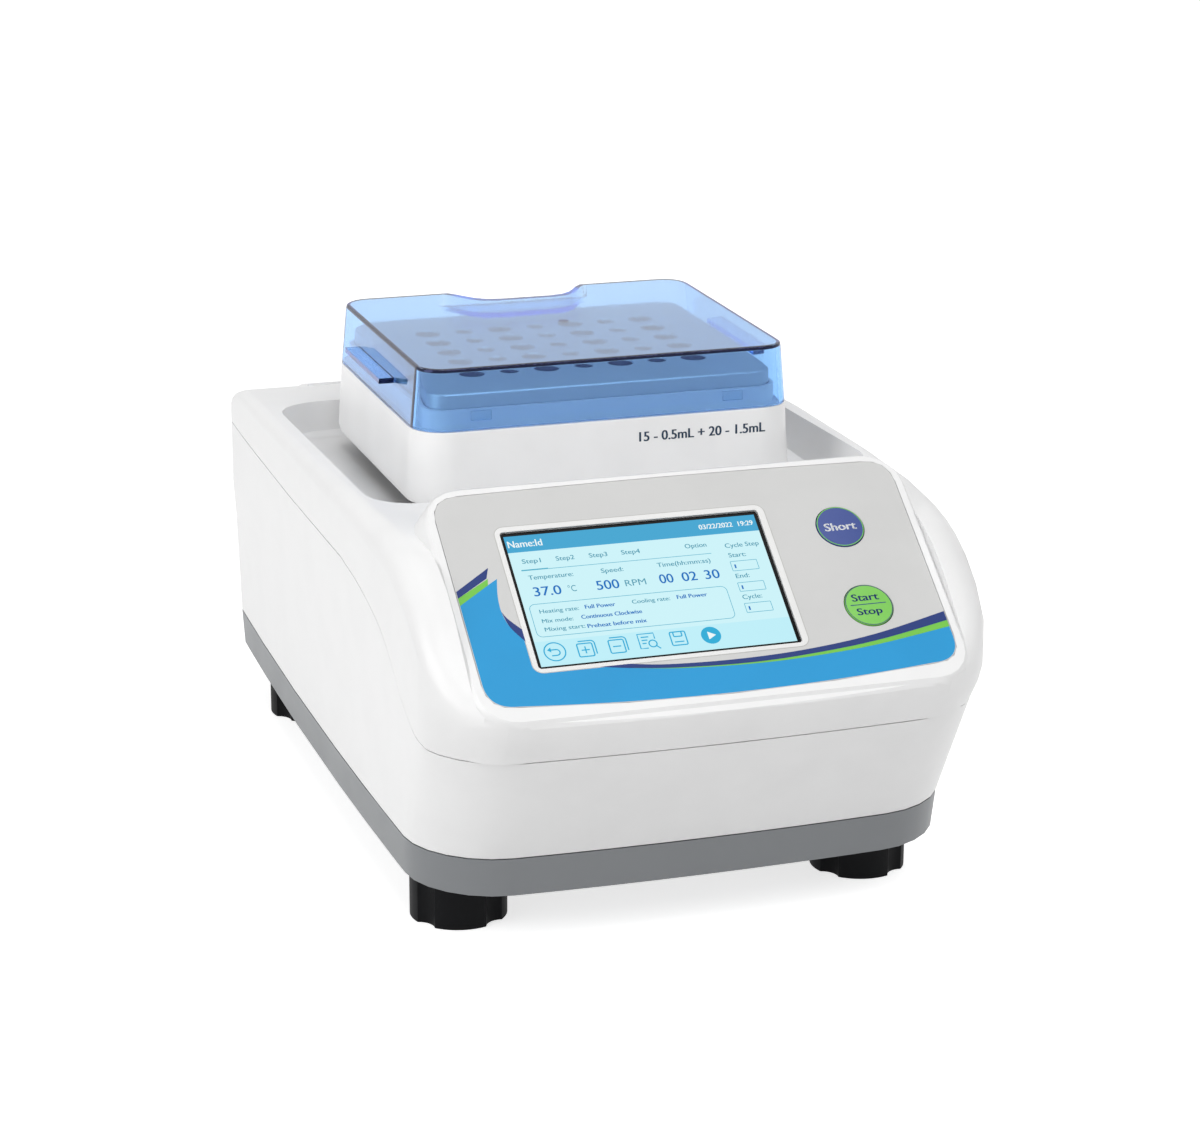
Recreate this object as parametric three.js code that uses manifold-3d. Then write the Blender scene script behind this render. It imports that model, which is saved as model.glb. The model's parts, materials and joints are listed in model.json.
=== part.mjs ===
// Incubated benchtop shaker: an orbiting heated head with a clear lid, in a moulded casing
// with a sloped touch-screen console. Millimetres, +Z up, +Y to the rear, origin on the floor.
import * as THREE from 'three';
import { mergeVertices } from 'three/addons/utils/BufferGeometryUtils.js';
import Module from 'manifold-3d';

const wasm = await Module();
wasm.setup();

// Driving sizes of the casing
const bodyWidth = 245;
const bodyDepth = 403;
const panBottomHeight = 25.5;
const panHeight = 17;
const frontWallHeight = 51;
const creaseRise = 9;
const lipWallRise = 7.5;
const lipRound = 3;
const consoleRun = 83.5;
const panelSlope = THREE.MathUtils.degToRad(36.3);
const crestDrop = 9.34;
const rimRise = 2;
const rimFall = 5.5;
const sidePartingDrop = 25.5;
const rearDeckDrop = 14.5;
const shellWall = 2.6;
const panWall = 3;
const partingGap = 0.5;
const seatGap = 0.3;
const runningGap = 0.4;
const cutOverrun = 5;
const sideDraft = 4.1;
const frontOverhang = 37;
const rearDraft = 2;
const sideBow = 3.4;
const frontBow = 5;
const rearBow = 2.5;
const frontCornerRadius = 36;
const rearCornerRadius = 16;
const rimFrontSetback = 107;
const rimRearSetback = 75;
const partingRun = 117;
const partingFrontSetback = 36.5;
const cheekRound = 11;
const rimRound = 6;

// Heights that follow from those sizes, from the base up
const panTopHeight = panBottomHeight + panHeight;
const frontPartingHeight = panTopHeight + frontWallHeight;
const creaseHeight = frontPartingHeight + creaseRise;
const lipWallHeight = creaseHeight + lipWallRise;
const lipHeight = lipWallHeight + lipRound;
const crestHeight = lipHeight + consoleRun * Math.tan(panelSlope) - crestDrop;
const rimFrontHeight = crestHeight + rimRise;
const rimRearHeight = rimFrontHeight - rimFall;
const sidePartingHeight = crestHeight - sidePartingDrop;
const rearEdgeHeight = rimRearHeight - rearDeckDrop;

// Console panel: a plane that rises to the rear, measured from a point near its lower edge
const panelFootSetback = 9.5;
const panelFootRise = 6;
const panelFootHeight = lipHeight + panelFootRise;
const overlaySideMargin = 22.8;
const overlayTopMargin = 1.2;
const overlayWidth = bodyWidth - 2 * overlaySideMargin;
const overlayBottom = -1.5;
const overlayTop = consoleRun / Math.cos(panelSlope) - overlayTopMargin;
const overlayCorner = 12;
const overlayBulge = 4;
const overlayThickness = 0.7;
const padBorder = 3;
const padDrop = 26;
const padSkirt = 7;
const padRound = 1.4;
const cheekFoot = 1.2;
const screenLeftMargin = 25.8;
const screenRightMargin = 65.6;
const screenCentreUp = 48.8;
const screenHeight = 64.8;
const screenBorder = 1.4;
const screenWidth = overlayWidth - screenLeftMargin - screenRightMargin;
const screenCentreX = (screenLeftMargin - screenRightMargin) / 2;
const windowCorner = 1.5;
const buttonSideMargin = 31.2;
const buttonX = overlayWidth / 2 - buttonSideMargin;
const shortButtonUp = 69.9;
const startButtonUp = 29.5;
const buttonDiameter = 20.6;
const buttonProud = 0.7;
const buttonTravel = 0.8;
const buttonFlange = 1.5;

// Heated block: its wells set its size
const wellPitchX = 34;
const wellPitchY = 18;
const bigWellColumns = 4;
const smallWellColumns = 3;
const wellRows = 5;
const bigWellDiameter = 11;
const smallWellDiameter = 8;
const bigWellFloor = 6;
const smallWellFloor = 14;
const wellTaper = 14;
const wellTipDiameter = 4.4;
const blockMarginX = 27;
const blockMarginY = 31;
const blockHeight = 42;
const blockCorner = 9;
const blockHalfWidth = (bigWellColumns - 1) / 2 * wellPitchX + blockMarginX;
const blockHalfDepth = (wellRows - 1) / 2 * wellPitchY + blockMarginY;

// Orbiting head round the block, its clear lid, and the well below them in the top cover
const headCentreY = 33.5;
const housingMarginX = 7.8;
const housingMarginY = 7.2;
const housingTopHalfWidth = blockHalfWidth + housingMarginX;
const housingTopHalfDepth = blockHalfDepth + housingMarginY;
const housingSpread = 1.8;
const housingCorner = 17;
const housingWall = 2.2;
const upstandWall = 2;
const lidInsetX = 0.6;
const lidInsetY = 0.9;
const lidBottomHalfWidth = housingTopHalfWidth - lidInsetX;
const lidBottomHalfDepth = housingTopHalfDepth - lidInsetY;
const lidDraft = 2.3;
const lidWall = 2;
const lidCorner = 14;
const lidRound = 1.5;
const lidHeadroom = 10;
const rimLand = 10;
const wellRoomY = 23.8;
const wellShift = 7.5;
const wellHalfWidth = bodyWidth / 2 - rimLand;
const wellHalfDepth = housingTopHalfDepth + wellRoomY;
const wellCentreY = headCentreY - wellShift;
const wellCorner = 22;
const wellSink = 21;
const wellFlare = 10;
const wellFloorHeight = rimFrontHeight - wellSink;
const pillarInsetX = 15;
const pillarInsetY = 14;
const pillarX = blockHalfWidth - pillarInsetX;
const pillarY = blockHalfDepth - pillarInsetY;
const pillarDiameter = 9;
const pillarRoomX = 11;
const pillarRoomY = 9;
const wellOpeningHalfWidth = pillarX + pillarRoomX;
const wellOpeningHalfDepth = pillarY + pillarRoomY;
const wellOpeningCorner = 11;

// Heights of the head, from the floor of the well up
const housingRise = 8;
const blockRise = 14;
const housingDrop = 15;
const upstandDrop = 6.4;
const housingBottomHeight = wellFloorHeight + housingRise;
const blockBottomHeight = wellFloorHeight + blockRise;
const blockTopHeight = blockBottomHeight + blockHeight;
const housingTopHeight = blockTopHeight - housingDrop;
const upstandTopHeight = blockTopHeight - upstandDrop;
const lidTopHeight = blockTopHeight + lidHeadroom + lidWall;

// Orbit drive
const orbitRadius = 1.5;
const chassisRise = 7.5;
const chassisBottomHeight = panBottomHeight + chassisRise;
const chassisThickness = 3;
const motorDiameter = 66;
const motorHeight = 43;
const motorTopHeight = chassisBottomHeight + motorHeight;
const motorShaftDiameter = 12;
const eccentricHubDiameter = 34;
const eccentricHubHeight = 10;
const eccentricPinDiameter = 10;
const pinBearingDiameter = 26;
const platformRise = 18;
const platformHeight = motorTopHeight + platformRise;
const platformThickness = 8;
const platformMarginX = 9;
const platformMarginY = 7;
const platformHalfWidth = pillarX + platformMarginX;
const platformHalfDepth = pillarY + platformMarginY;
const idlerX = 48;
const idlerPostDiameter = 18;
const idlerPinDiameter = 6;
const idlerShaftDiameter = 8;

// Wall profile, console profile, fall of the rear deck and parting curve, as shares of the sizes above
const casingLevels = [
  { height: panBottomHeight, sideShare: 1, frontShare: 1, rearShare: 0.5 },
  { height: panTopHeight, sideShare: 0.76, frontShare: 0.943, rearShare: 0 },
  { height: frontPartingHeight, sideShare: 0.3, frontShare: 0.216, rearShare: 0.5 },
  { height: creaseHeight, sideShare: 0.12, frontShare: 0.07, rearShare: 0.75 },
  { height: lipWallHeight, sideShare: 0, frontShare: 0, rearShare: 1 },
];
const consoleShares = [[0, 0], [0.16, 0.145], [0.41, 0.52], [0.57, 0.74], [0.77, 0.905], [1, 1]];
const rearFallShares = [[0.33, 0.07], [0.59, 0.27], [0.8, 0.58], [0.91, 0.82], [1, 1]];
const partingShares = [[0, 0], [0.085, 0.065], [0.2, 0.25], [0.294, 0.467], [0.46, 0.728],
  [0.64, 0.867], [0.82, 0.95], [1, 1]];
const sideStationShares = [0, 0.035, 0.07, 0.1, 0.135, 0.2, 0.35, 0.6, 0.83, 0.89, 0.94, 0.975];
const wellWallShares = [[1, 0], [0.45, 0.25], [0.2, 0.8]];

// A smooth curve through stations [place, value] that never overshoots them
function through(stations) {
  const slopes = stations.map((point, i) => {
    if (i === 0 || i === stations.length - 1) return null;
    const [before, after] = [stations[i - 1], stations[i + 1]];
    const a = (point[1] - before[1]) / (point[0] - before[0]);
    const b = (after[1] - point[1]) / (after[0] - point[0]);
    return a * b <= 0 ? 0 : (2 * a * b) / (a + b);
  });
  const ends = [[0, 1], [stations.length - 1, stations.length - 2]];
  for (const [end, next] of ends) {
    slopes[end] = (stations[next][1] - stations[end][1]) / (stations[next][0] - stations[end][0]);
  }
  return (place) => {
    const last = stations.length - 1;
    if (place <= stations[0][0]) return stations[0][1];
    if (place >= stations[last][0]) return stations[last][1];
    const i = stations.findIndex((point) => point[0] > place) - 1;
    const run = stations[i + 1][0] - stations[i][0];
    const t = (place - stations[i][0]) / run;
    const u = 1 - t;
    return stations[i][1] * u * u * (1 + 2 * t) + stations[i + 1][1] * t * t * (1 + 2 * u)
      + run * t * u * (slopes[i] * u - slopes[i + 1] * t);
  };
}

const bodyFront = -bodyDepth / 2;
const bodyRear = bodyDepth / 2;
const rimFrontY = bodyFront + rimFrontSetback;
const rimRearY = bodyRear - rimRearSetback;
const rearEdgeY = bodyRear - rearDraft;
const topHeightAt = through([
  ...consoleShares.map(([run, rise]) => [
    bodyFront + consoleRun * run, lipHeight + (crestHeight - lipHeight) * rise]),
  [rimFrontY, rimFrontHeight],
  [rimRearY, rimRearHeight],
  ...rearFallShares.map(([run, fall]) => [
    rimRearY + (rearEdgeY - rimRearY) * run, rimRearHeight - (rimRearHeight - rearEdgeHeight) * fall]),
]);
const edgeRoundAt = through([
  [bodyFront, lipRound], [bodyFront + consoleRun / 2, cheekRound], [bodyFront + consoleRun, cheekRound],
  [headCentreY, rimRound], [bodyRear, rimRound],
]);
const partingStart = bodyFront + partingFrontSetback;
const partingHeightAt = through(partingShares.map(([run, rise]) => [
  partingStart + partingRun * run,
  frontPartingHeight + (sidePartingHeight - frontPartingHeight) * rise]));

// Right half of a bowed, round-cornered outline, from the front's middle to the rear's middle
function casingOutline(halfWidth, front, rear, inset, cornerSteps, stationShares) {
  const frontRadius = frontCornerRadius - inset;
  const rearRadius = Math.max(rearCornerRadius - inset, inset);
  const middle = (front + rear) / 2;
  const halfDepth = (rear - front) / 2;
  const even = (steps) => Array.from({ length: steps }, (_, i) => i / steps);
  const line = (x0, y0, x1, y1, shares) => shares.map((share) => [x0 + (x1 - x0) * share, y0 + (y1 - y0) * share]);
  const corner = (x, y, radius, from, steps) => even(steps).map((share) => {
    const turn = from + (Math.PI / 2) * share;
    return [x + radius * Math.cos(turn), y + radius * Math.sin(turn)];
  });
  const points = [
    ...line(0, front, halfWidth - frontRadius, front, even(4)),
    ...corner(halfWidth - frontRadius, front + frontRadius, frontRadius, -Math.PI / 2, cornerSteps),
    ...line(halfWidth, front + frontRadius, halfWidth, rear - rearRadius, stationShares),
    ...corner(halfWidth - rearRadius, rear - rearRadius, rearRadius, 0, 3),
    ...line(halfWidth - rearRadius, rear, 0, rear, even(3)),
    [0, rear]];
  return points.map(([x, y]) => {
    const along = (y - middle) / halfDepth;
    const across = x / halfWidth;
    const endBow = along < 0 ? frontBow : -rearBow;
    return [x * (1 - (sideBow / halfWidth) * along * along), y + endBow * across * across * along * along];
  });
}

// Solids for joining and cutting, made from closed geometry
function toSolid(geometry) {
  const plain = geometry.clone();
  plain.deleteAttribute('normal');
  plain.deleteAttribute('uv');
  const merged = mergeVertices(plain);
  const corners = merged.index.array;
  const triangles = [];
  for (let i = 0; i < corners.length; i += 3) {
    const [a, b, c] = [corners[i], corners[i + 1], corners[i + 2]];
    if (a !== b && b !== c && c !== a) triangles.push(a, b, c);
  }
  return new wasm.Manifold(new wasm.Mesh({
    numProp: 3,
    vertProperties: new Float32Array(merged.attributes.position.array),
    triVerts: new Uint32Array(triangles),
  }));
}

function toGeometry(solid) {
  const data = solid.getMesh();
  const geometry = new THREE.BufferGeometry();
  geometry.setAttribute('position', new THREE.BufferAttribute(new Float32Array(data.vertProperties), 3));
  geometry.setIndex(new THREE.BufferAttribute(new Uint32Array(data.triVerts), 1));
  return geometry;
}

function fromFaces(positions, faces) {
  const geometry = new THREE.BufferGeometry();
  geometry.setAttribute('position', new THREE.Float32BufferAttribute(positions, 3));
  geometry.setIndex(faces);
  return toSolid(geometry);
}

function wallBetween(count, size) {
  const faces = [];
  for (let k = 0; k < count - 1; k += 1) {
    for (let i = 0; i < size; i += 1) {
      const a = k * size + i;
      const b = k * size + ((i + 1) % size);
      faces.push(a, b, b + size, a, b + size, a + size);
    }
  }
  return faces;
}

// Mirrored outlines, one per level, capped by straight rungs across
function ladderSolid(levels) {
  const last = levels[0].length - 1;
  const size = 2 * last;
  const positions = [];
  for (const level of levels) {
    for (let i = 0; i <= last; i += 1) positions.push(...level[i]);
    for (let i = last - 1; i > 0; i -= 1) positions.push(-level[i][0], level[i][1], level[i][2]);
  }
  const faces = wallBetween(levels.length, size);
  const cap = (offset, up) => {
    const face = (a, b, c) => faces.push(offset + a, offset + (up ? b : c), offset + (up ? c : b));
    for (let i = 0; i < last; i += 1) {
      const left = (size - i) % size;
      const nextLeft = size - i - 1;
      if (i < last - 1) face(i, i + 1, nextLeft);
      if (i > 0) face(i, i < last - 1 ? nextLeft : i + 1, left);
    }
  };
  cap(0, false);
  cap((levels.length - 1) * size, true);
  return fromFaces(positions, faces);
}

// Closed outlines, one per level, each end closed by a fan from its middle
function ringSolid(rings) {
  const size = rings[0].length;
  const top = (rings.length - 1) * size;
  const centres = [rings[0], rings[rings.length - 1]].map((ring) => (
    [0, 1, 2].map((axis) => ring.reduce((sum, point) => sum + point[axis], 0) / size)));
  const faces = wallBetween(rings.length, size);
  for (let i = 0; i < size; i += 1) {
    const next = (i + 1) % size;
    faces.push(top + size, next, i, top + size + 1, top + i, top + next);
  }
  return fromFaces([...rings.flat(2), ...centres.flat()], faces);
}

function block(x0, x1, y0, y1, z0, z1) {
  const geometry = new THREE.BoxGeometry(x1 - x0, y1 - y0, z1 - z0);
  return toSolid(geometry.translate((x0 + x1) / 2, (y0 + y1) / 2, (z0 + z1) / 2));
}

const centred = (x, halfX, y, halfY, z0, z1) => block(x - halfX, x + halfX, y - halfY, y + halfY, z0, z1);
const around = (x, halfX, y0, y1, z, halfZ) => block(x - halfX, x + halfX, y0, y1, z - halfZ, z + halfZ);

function rod(diameter, x, y, z0, z1, sides) {
  const geometry = new THREE.CylinderGeometry(diameter / 2, diameter / 2, z1 - z0, sides);
  return toSolid(geometry.rotateX(Math.PI / 2).translate(x, y, (z0 + z1) / 2));
}

function rodAlongY(diameter, x, y0, y1, z, sides) {
  const geometry = new THREE.CylinderGeometry(diameter / 2, diameter / 2, y1 - y0, sides);
  return toSolid(geometry.translate(x, (y0 + y1) / 2, z));
}

const ring = (outer, inner, x, y, z0, z1, sides) => rod(outer, x, y, z0, z1, sides)
  .subtract(rod(inner, x, y, z0 - cutOverrun, z1 + cutOverrun, sides));

// A body turned about Z from a half profile of [radius, height]
function turned(profile, sides) {
  const lathe = new THREE.LatheGeometry(profile.map(([r, z]) => new THREE.Vector2(r, z)), sides);
  return toSolid(lathe.rotateX(Math.PI / 2));
}

// Round-cornered rectangles lofted through levels that give their sizes and height
function roundedLoft(levels, centreX, centreY, steps) {
  const corners = [[1, -1, -1], [1, 1, 0], [-1, 1, 1], [-1, -1, 2]];
  return ringSolid(levels.map(({ halfWidth, halfDepth, radius, height }) => (
    corners.flatMap(([sideX, sideY, quarter]) => Array.from({ length: steps + 1 }, (_, i) => {
      const turn = (Math.PI / 2) * (quarter + i / steps);
      return [centreX + sideX * (halfWidth - radius) + radius * Math.cos(turn),
        centreY + sideY * (halfDepth - radius) + radius * Math.sin(turn), height];
    })))));
}

function roundedBlock(halfWidth, centreX, halfDepth, centreY, radius, z0, z1, steps) {
  const size = { halfWidth, halfDepth, radius };
  return roundedLoft([{ ...size, height: z0 }, { ...size, height: z1 }], centreX, centreY, steps);
}

// A side profile in Y and Z, carried straight across the width
function acrossWidth(profile, halfWidth) {
  const shape = new THREE.Shape(profile.map(([y, z]) => new THREE.Vector2(y, z)));
  const geometry = new THREE.ExtrudeGeometry(shape, { depth: 2 * halfWidth, bevelEnabled: false });
  const turn = new THREE.Matrix4().makeBasis(
    new THREE.Vector3(0, 1, 0), new THREE.Vector3(0, 0, 1), new THREE.Vector3(1, 0, 0));
  return toSolid(geometry.applyMatrix4(turn).translate(-halfWidth, 0, 0));
}

// Everything on the console is drawn on the panel plane and then placed by this frame
const panelFrame = new THREE.Matrix4().makeRotationX(panelSlope)
  .setPosition(0, bodyFront + panelFootSetback, panelFootHeight);
const onPanel = (solid) => toSolid(toGeometry(solid).applyMatrix4(panelFrame));

// Materials
const finish = (color, roughness, metalness = 0, more = {}) => (
  new THREE.MeshStandardMaterial({ color, roughness, metalness, ...more }));
const whitePlastic = finish(0xececee, 0.42);
const greyPlastic = finish(0x87898c, 0.5);
const blackRubber = finish(0x14161c, 0.75);
const overlayFilm = finish(0xd9d9d6, 0.45);
const screenGlass = finish(0xbfeef8, 0.2);
const blueKey = finish(0x3c5096, 0.45);
const greenKey = finish(0x78cc50, 0.45);
const darkPlastic = finish(0x1c1d20, 0.55);
const anodised = finish(0x9aa0a6, 0.4, 0.8);
const steel = finish(0x9b9c9e, 0.35, 0.9);
const circuit = finish(0x1f6b3c, 0.6);
const foam = finish(0x3a3c40, 0.95);
const ceramic = finish(0xf2f2ee, 0.6);
const clearBlue = finish(0x4f86dc, 0.1, 0, { transparent: true, opacity: 0.4 });

const shaker = new THREE.Group();
shaker.name = 'incubated_shaker';

function addPiece(name, solid, material, parent = shaker) {
  const piece = new THREE.Mesh(toGeometry(solid), material);
  piece.name = name;
  parent.add(piece);
  return piece;
}

// Casing form: drafted walls, then an edge that rounds over into the sloping top
function casingForm(inset, roundSteps, cornerSteps, stationShares) {
  const level = ({ height, sideShare, frontShare, rearShare }) => (
    casingOutline(bodyWidth / 2 - sideDraft * sideShare - inset, bodyFront + frontOverhang * frontShare + inset,
      bodyRear - rearDraft * rearShare - inset, inset, cornerSteps, stationShares)
      .map(([x, y]) => [x, y, height]));
  const walls = casingLevels.map(level);
  const edge = walls[walls.length - 1];
  const normals = edge.map((_, i) => {
    if (i === 0) return [0, -1];
    if (i === edge.length - 1) return [0, 1];
    const along = [edge[i + 1][0] - edge[i - 1][0], edge[i + 1][1] - edge[i - 1][1]];
    const length = Math.hypot(...along);
    return [along[1] / length, -along[0] / length];
  });
  for (let k = 0; k <= roundSteps; k += 1) {
    const turn = ((Math.PI / 2) * k) / roundSteps;
    walls.push(edge.map(([x, y], i) => {
      const radius = edgeRoundAt(y);
      const inward = radius * (1 - Math.cos(turn));
      const px = x - normals[i][0] * inward;
      const py = y - normals[i][1] * inward;
      return [px, py, topHeightAt(py) - inset - radius * (1 - Math.sin(turn))];
    }));
  }
  return ladderSolid(walls);
}

const reach = bodyDepth;
const partingSteps = 18;
const partingLine = Array.from({ length: partingSteps + 1 }, (_, i) => {
  const y = partingStart + (partingRun * i) / partingSteps;
  return [y, partingHeightAt(y)];
});
const abovePart = (shift) => acrossWidth([
  [-reach, frontPartingHeight + shift], ...partingLine.map(([y, z]) => [y, z + shift]),
  [reach, sidePartingHeight + shift], [reach, reach], [-reach, reach]], bodyWidth);
const slab = (z0, z1) => block(-bodyWidth, bodyWidth, -reach, reach, z0, z1);
const outerForm = casingForm(0, 3, 6, sideStationShares);
const innerForm = casingForm(shellWall, 2, 4, sideStationShares.filter((_, i) => i % 2 === 0));

// Four lobed rubber feet with their studs
const footSideSetback = 32.5;
const footFrontSetback = 88.5;
const footRearSetback = 53.5;
const footX = bodyWidth / 2 - footSideSetback;
const footFrontY = bodyFront + footFrontSetback;
const footRearY = bodyRear - footRearSetback;
const footDiameter = 41;
const footLobes = 4;
const footValleyDiameter = 14;
const footValleyDepth = 2.5;
const footValleyTurn = THREE.MathUtils.degToRad(32);
const footTaper = 1.5;
const studDiameter = 8;
const studTopHeight = panBottomHeight + panWall + seatGap;
const footTopHeight = panBottomHeight - seatGap;
const footPlaces = [
  ['foot_front_left', -footX, footFrontY], ['foot_front_right', footX, footFrontY],
  ['foot_rear_left', -footX, footRearY], ['foot_rear_right', footX, footRearY]];

const footRadius = footDiameter / 2;
const footValleyReach = footRadius - footValleyDepth + footValleyDiameter / 2;
let footSolid = turned([[0, 0], [footRadius - footTaper, 0], [footRadius, footTaper], [footRadius, footTopHeight],
  [0, footTopHeight]], 32);
for (let i = 0; i < footLobes; i += 1) {
  const turn = footValleyTurn + (2 * Math.PI * i) / footLobes;
  footSolid = footSolid.subtract(rod(footValleyDiameter, footValleyReach * Math.cos(turn),
    footValleyReach * Math.sin(turn), -cutOverrun, footTopHeight + cutOverrun, 16));
}
footSolid = footSolid.add(rod(studDiameter, 0, 0, footTopHeight - footTaper, studTopHeight, 10));
for (const [name, x, y] of footPlaces) {
  const foot = addPiece(name, footSolid, blackRubber);
  foot.position.set(x, y, 0);
}

// Grey base pan: floor, walls, air slots and bosses for the chassis plate
const panSlotLength = 60;
const panSlotWidth = 4;
const panSlotPitch = 9;
const panSlotCount = 6;
const panSlotCentreY = -35;
const bossDiameter = 12;
const bossSideSetback = 42.5;
const bossFrontSetback = 131.5;
const bossRearSetback = 81.5;
const bossX = bodyWidth / 2 - bossSideSetback;
const bossFrontY = bodyFront + bossFrontSetback;
const bossRearY = bodyRear - bossRearSetback;
const panFloorHeight = panBottomHeight + panWall;
let pan = outerForm.intersect(slab(0, panTopHeight - partingGap / 2))
  .subtract(innerForm.intersect(slab(panFloorHeight, reach)));
for (const x of [-bossX, bossX]) {
  for (const y of [bossFrontY, bossRearY]) {
    pan = pan.add(rod(bossDiameter, x, y, panFloorHeight - panWall / 2, chassisBottomHeight - seatGap, 12));
  }
}
for (const [, x, y] of footPlaces) {
  pan = pan.subtract(rod(studDiameter + 2 * seatGap, x, y, 0, chassisBottomHeight, 10));
}
for (let i = 0; i < panSlotCount; i += 1) {
  const y = panSlotCentreY + (i - (panSlotCount - 1) / 2) * panSlotPitch;
  pan = pan.subtract(centred(0, panSlotLength / 2, y, panSlotWidth / 2, 0, panFloorHeight + seatGap));
}
addPiece('base_pan', pan, greyPlastic);

// A round-cornered plate that stands across the rear, between two depths
function rearPlate(halfWidth, z0, z1, radius, y0, y1) {
  const solid = roundedBlock(halfWidth, 0, (z1 - z0) / 2, (z0 + z1) / 2, radius, y0, y1, 3);
  const turn = new THREE.Matrix4().makeBasis(
    new THREE.Vector3(-1, 0, 0), new THREE.Vector3(0, 0, 1), new THREE.Vector3(0, 1, 0));
  return toSolid(toGeometry(solid).applyMatrix4(turn));
}

// White lower casing: a ring of wall with a framed opening for the rear panel
const fanSize = 80;
const inletClearance = 26;
const inletMargin = 30;
const inletX = fanSize / 2 + inletClearance;
const rearOpeningHalfWidth = inletX + inletMargin;
const rearOpeningRise = 7.5;
const rearOpeningDrop = 15;
const rearOpeningBottom = panTopHeight + rearOpeningRise;
const rearOpeningTop = rearEdgeHeight - rearOpeningDrop;
const rearOpeningCorner = 5;
const rearPanelLap = 3.5;
const rearPanelThickness = 2.5;
const rearPanelRecess = 5.5;
const rearPanelOuterY = bodyRear - rearDraft - rearPanelRecess;
const rearPanelInnerY = rearPanelOuterY - rearPanelThickness;
const rearOpening = (grow, y0, y1) => rearPlate(rearOpeningHalfWidth + grow, rearOpeningBottom - grow,
  rearOpeningTop + grow, rearOpeningCorner + grow, y0, y1);
const lower = outerForm.subtract(innerForm)
  .add(rearOpening(rearPanelLap, rearPanelOuterY + seatGap, bodyRear).intersect(outerForm))
  .intersect(slab(panTopHeight + partingGap / 2, reach))
  .subtract(abovePart(-partingGap / 2))
  .subtract(rearOpening(0, rearPanelInnerY, reach));
addPiece('lower_casing', lower, whitePlastic);

// Top cover: console with its pad and cheeks, rim, raised plate on the rear deck, and the well for the head
const padHalfWidth = overlayWidth / 2 + padBorder;
const padBottom = overlayBottom - overlayBulge - padBorder;
const padTop = overlayTop + padBorder;
const padCentreUp = (padBottom + padTop) / 2;
const padHalfUp = (padTop - padBottom) / 2;
const padCorner = overlayCorner + padBorder;
const roundCut = padRound * (1 - Math.SQRT1_2);
const overlaySeat = overlayThickness + seatGap;
const coverBack = overlaySeat + shellWall;
const padLevel = (spread, height) => ({
  halfWidth: padHalfWidth + spread, halfDepth: padHalfUp + spread, radius: padCorner + spread, height });
const padForm = onPanel(roundedLoft([padLevel(padSkirt, -padDrop), padLevel(padRound, -padRound),
  padLevel(roundCut, -roundCut), padLevel(0, 0)], 0, padCentreUp, 5));
const abovePad = onPanel(block(-padHalfWidth - padRound, padHalfWidth + padRound, -padHalfUp, reach,
  -cheekFoot, reach));

function overlayOutline(grow, z0, z1) {
  const bottom = overlayBottom - grow;
  const top = overlayTop + grow;
  const half = overlayWidth / 2 + grow;
  const radius = overlayCorner + grow;
  const shape = new THREE.Shape();
  shape.moveTo(-half + radius, bottom);
  shape.quadraticCurveTo(0, bottom - 2 * overlayBulge, half - radius, bottom);
  shape.quadraticCurveTo(half, bottom, half, bottom + radius);
  shape.lineTo(half, top - radius);
  shape.quadraticCurveTo(half, top, half - radius, top);
  shape.quadraticCurveTo(0, top + overlayBulge / 2, -half + radius, top);
  shape.quadraticCurveTo(-half, top, -half, top - radius);
  shape.lineTo(-half, bottom + radius);
  shape.quadraticCurveTo(-half, bottom, -half + radius, bottom);
  const geometry = new THREE.ExtrudeGeometry(shape, { depth: z1 - z0, bevelEnabled: false, curveSegments: 4 });
  return toSolid(geometry.translate(0, 0, z0));
}

const windowHalfWidth = screenWidth / 2 + screenBorder;
const windowHalfHeight = screenHeight / 2 + screenBorder;
const windowCut = (grow, z0, z1) => roundedBlock(windowHalfWidth + grow, screenCentreX, windowHalfHeight + grow,
  screenCentreUp, windowCorner + grow, z0, z1, 3);
const buttonPlaces = [['short', shortButtonUp, blueKey], ['start_stop', startButtonUp, greenKey]];
const buttonBores = (z0, z1) => buttonPlaces.map(([, up]) => (
  rod(buttonDiameter + 2 * runningGap, buttonX, up, z0, z1, 24)));
const wellLevel = (inward, height, grow) => ({
  halfWidth: wellHalfWidth - inward + grow, halfDepth: wellHalfDepth - inward + grow,
  radius: wellCorner - inward / 2 + grow, height });
const wellForm = (grow) => roundedLoft([
  ...wellWallShares.map(([inward, rise]) => (
    wellLevel(wellFlare * inward, wellFloorHeight + wellFlare * rise - grow, grow))),
  wellLevel(0, rimFrontHeight, grow), wellLevel(0, lidTopHeight, grow)], 0, wellCentreY, 5);
const wellOpening = roundedBlock(wellOpeningHalfWidth, 0, wellOpeningHalfDepth, headCentreY, wellOpeningCorner,
  wellFloorHeight - shellWall - cutOverrun, wellFloorHeight + cutOverrun, 4);
const cheekInnerX = padHalfWidth + padRound + shellWall;
const overPadBack = onPanel(block(-cheekInnerX, cheekInnerX, -reach, reach, -coverBack, reach))
  .intersect(block(-cheekInnerX, cheekInnerX, -reach, rimFrontY, 0, reach));
const coverCavity = innerForm.add(onPanel(roundedLoft([
  padLevel(padSkirt - shellWall, -padDrop - cutOverrun), padLevel(-shellWall, -coverBack)],
0, padCentreUp, 5))).subtract(overPadBack).subtract(wellForm(shellWall));
const deckPlateHalfWidth = 85;
const deckPlateFrontY = 166;
const deckPlateRearY = 189;
const deckPlateRise = 0.9;
const deckPlate = outerForm.translate([0, 0, deckPlateRise]).intersect(block(-deckPlateHalfWidth, deckPlateHalfWidth,
  deckPlateFrontY, deckPlateRearY, sidePartingHeight, reach));
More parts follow.
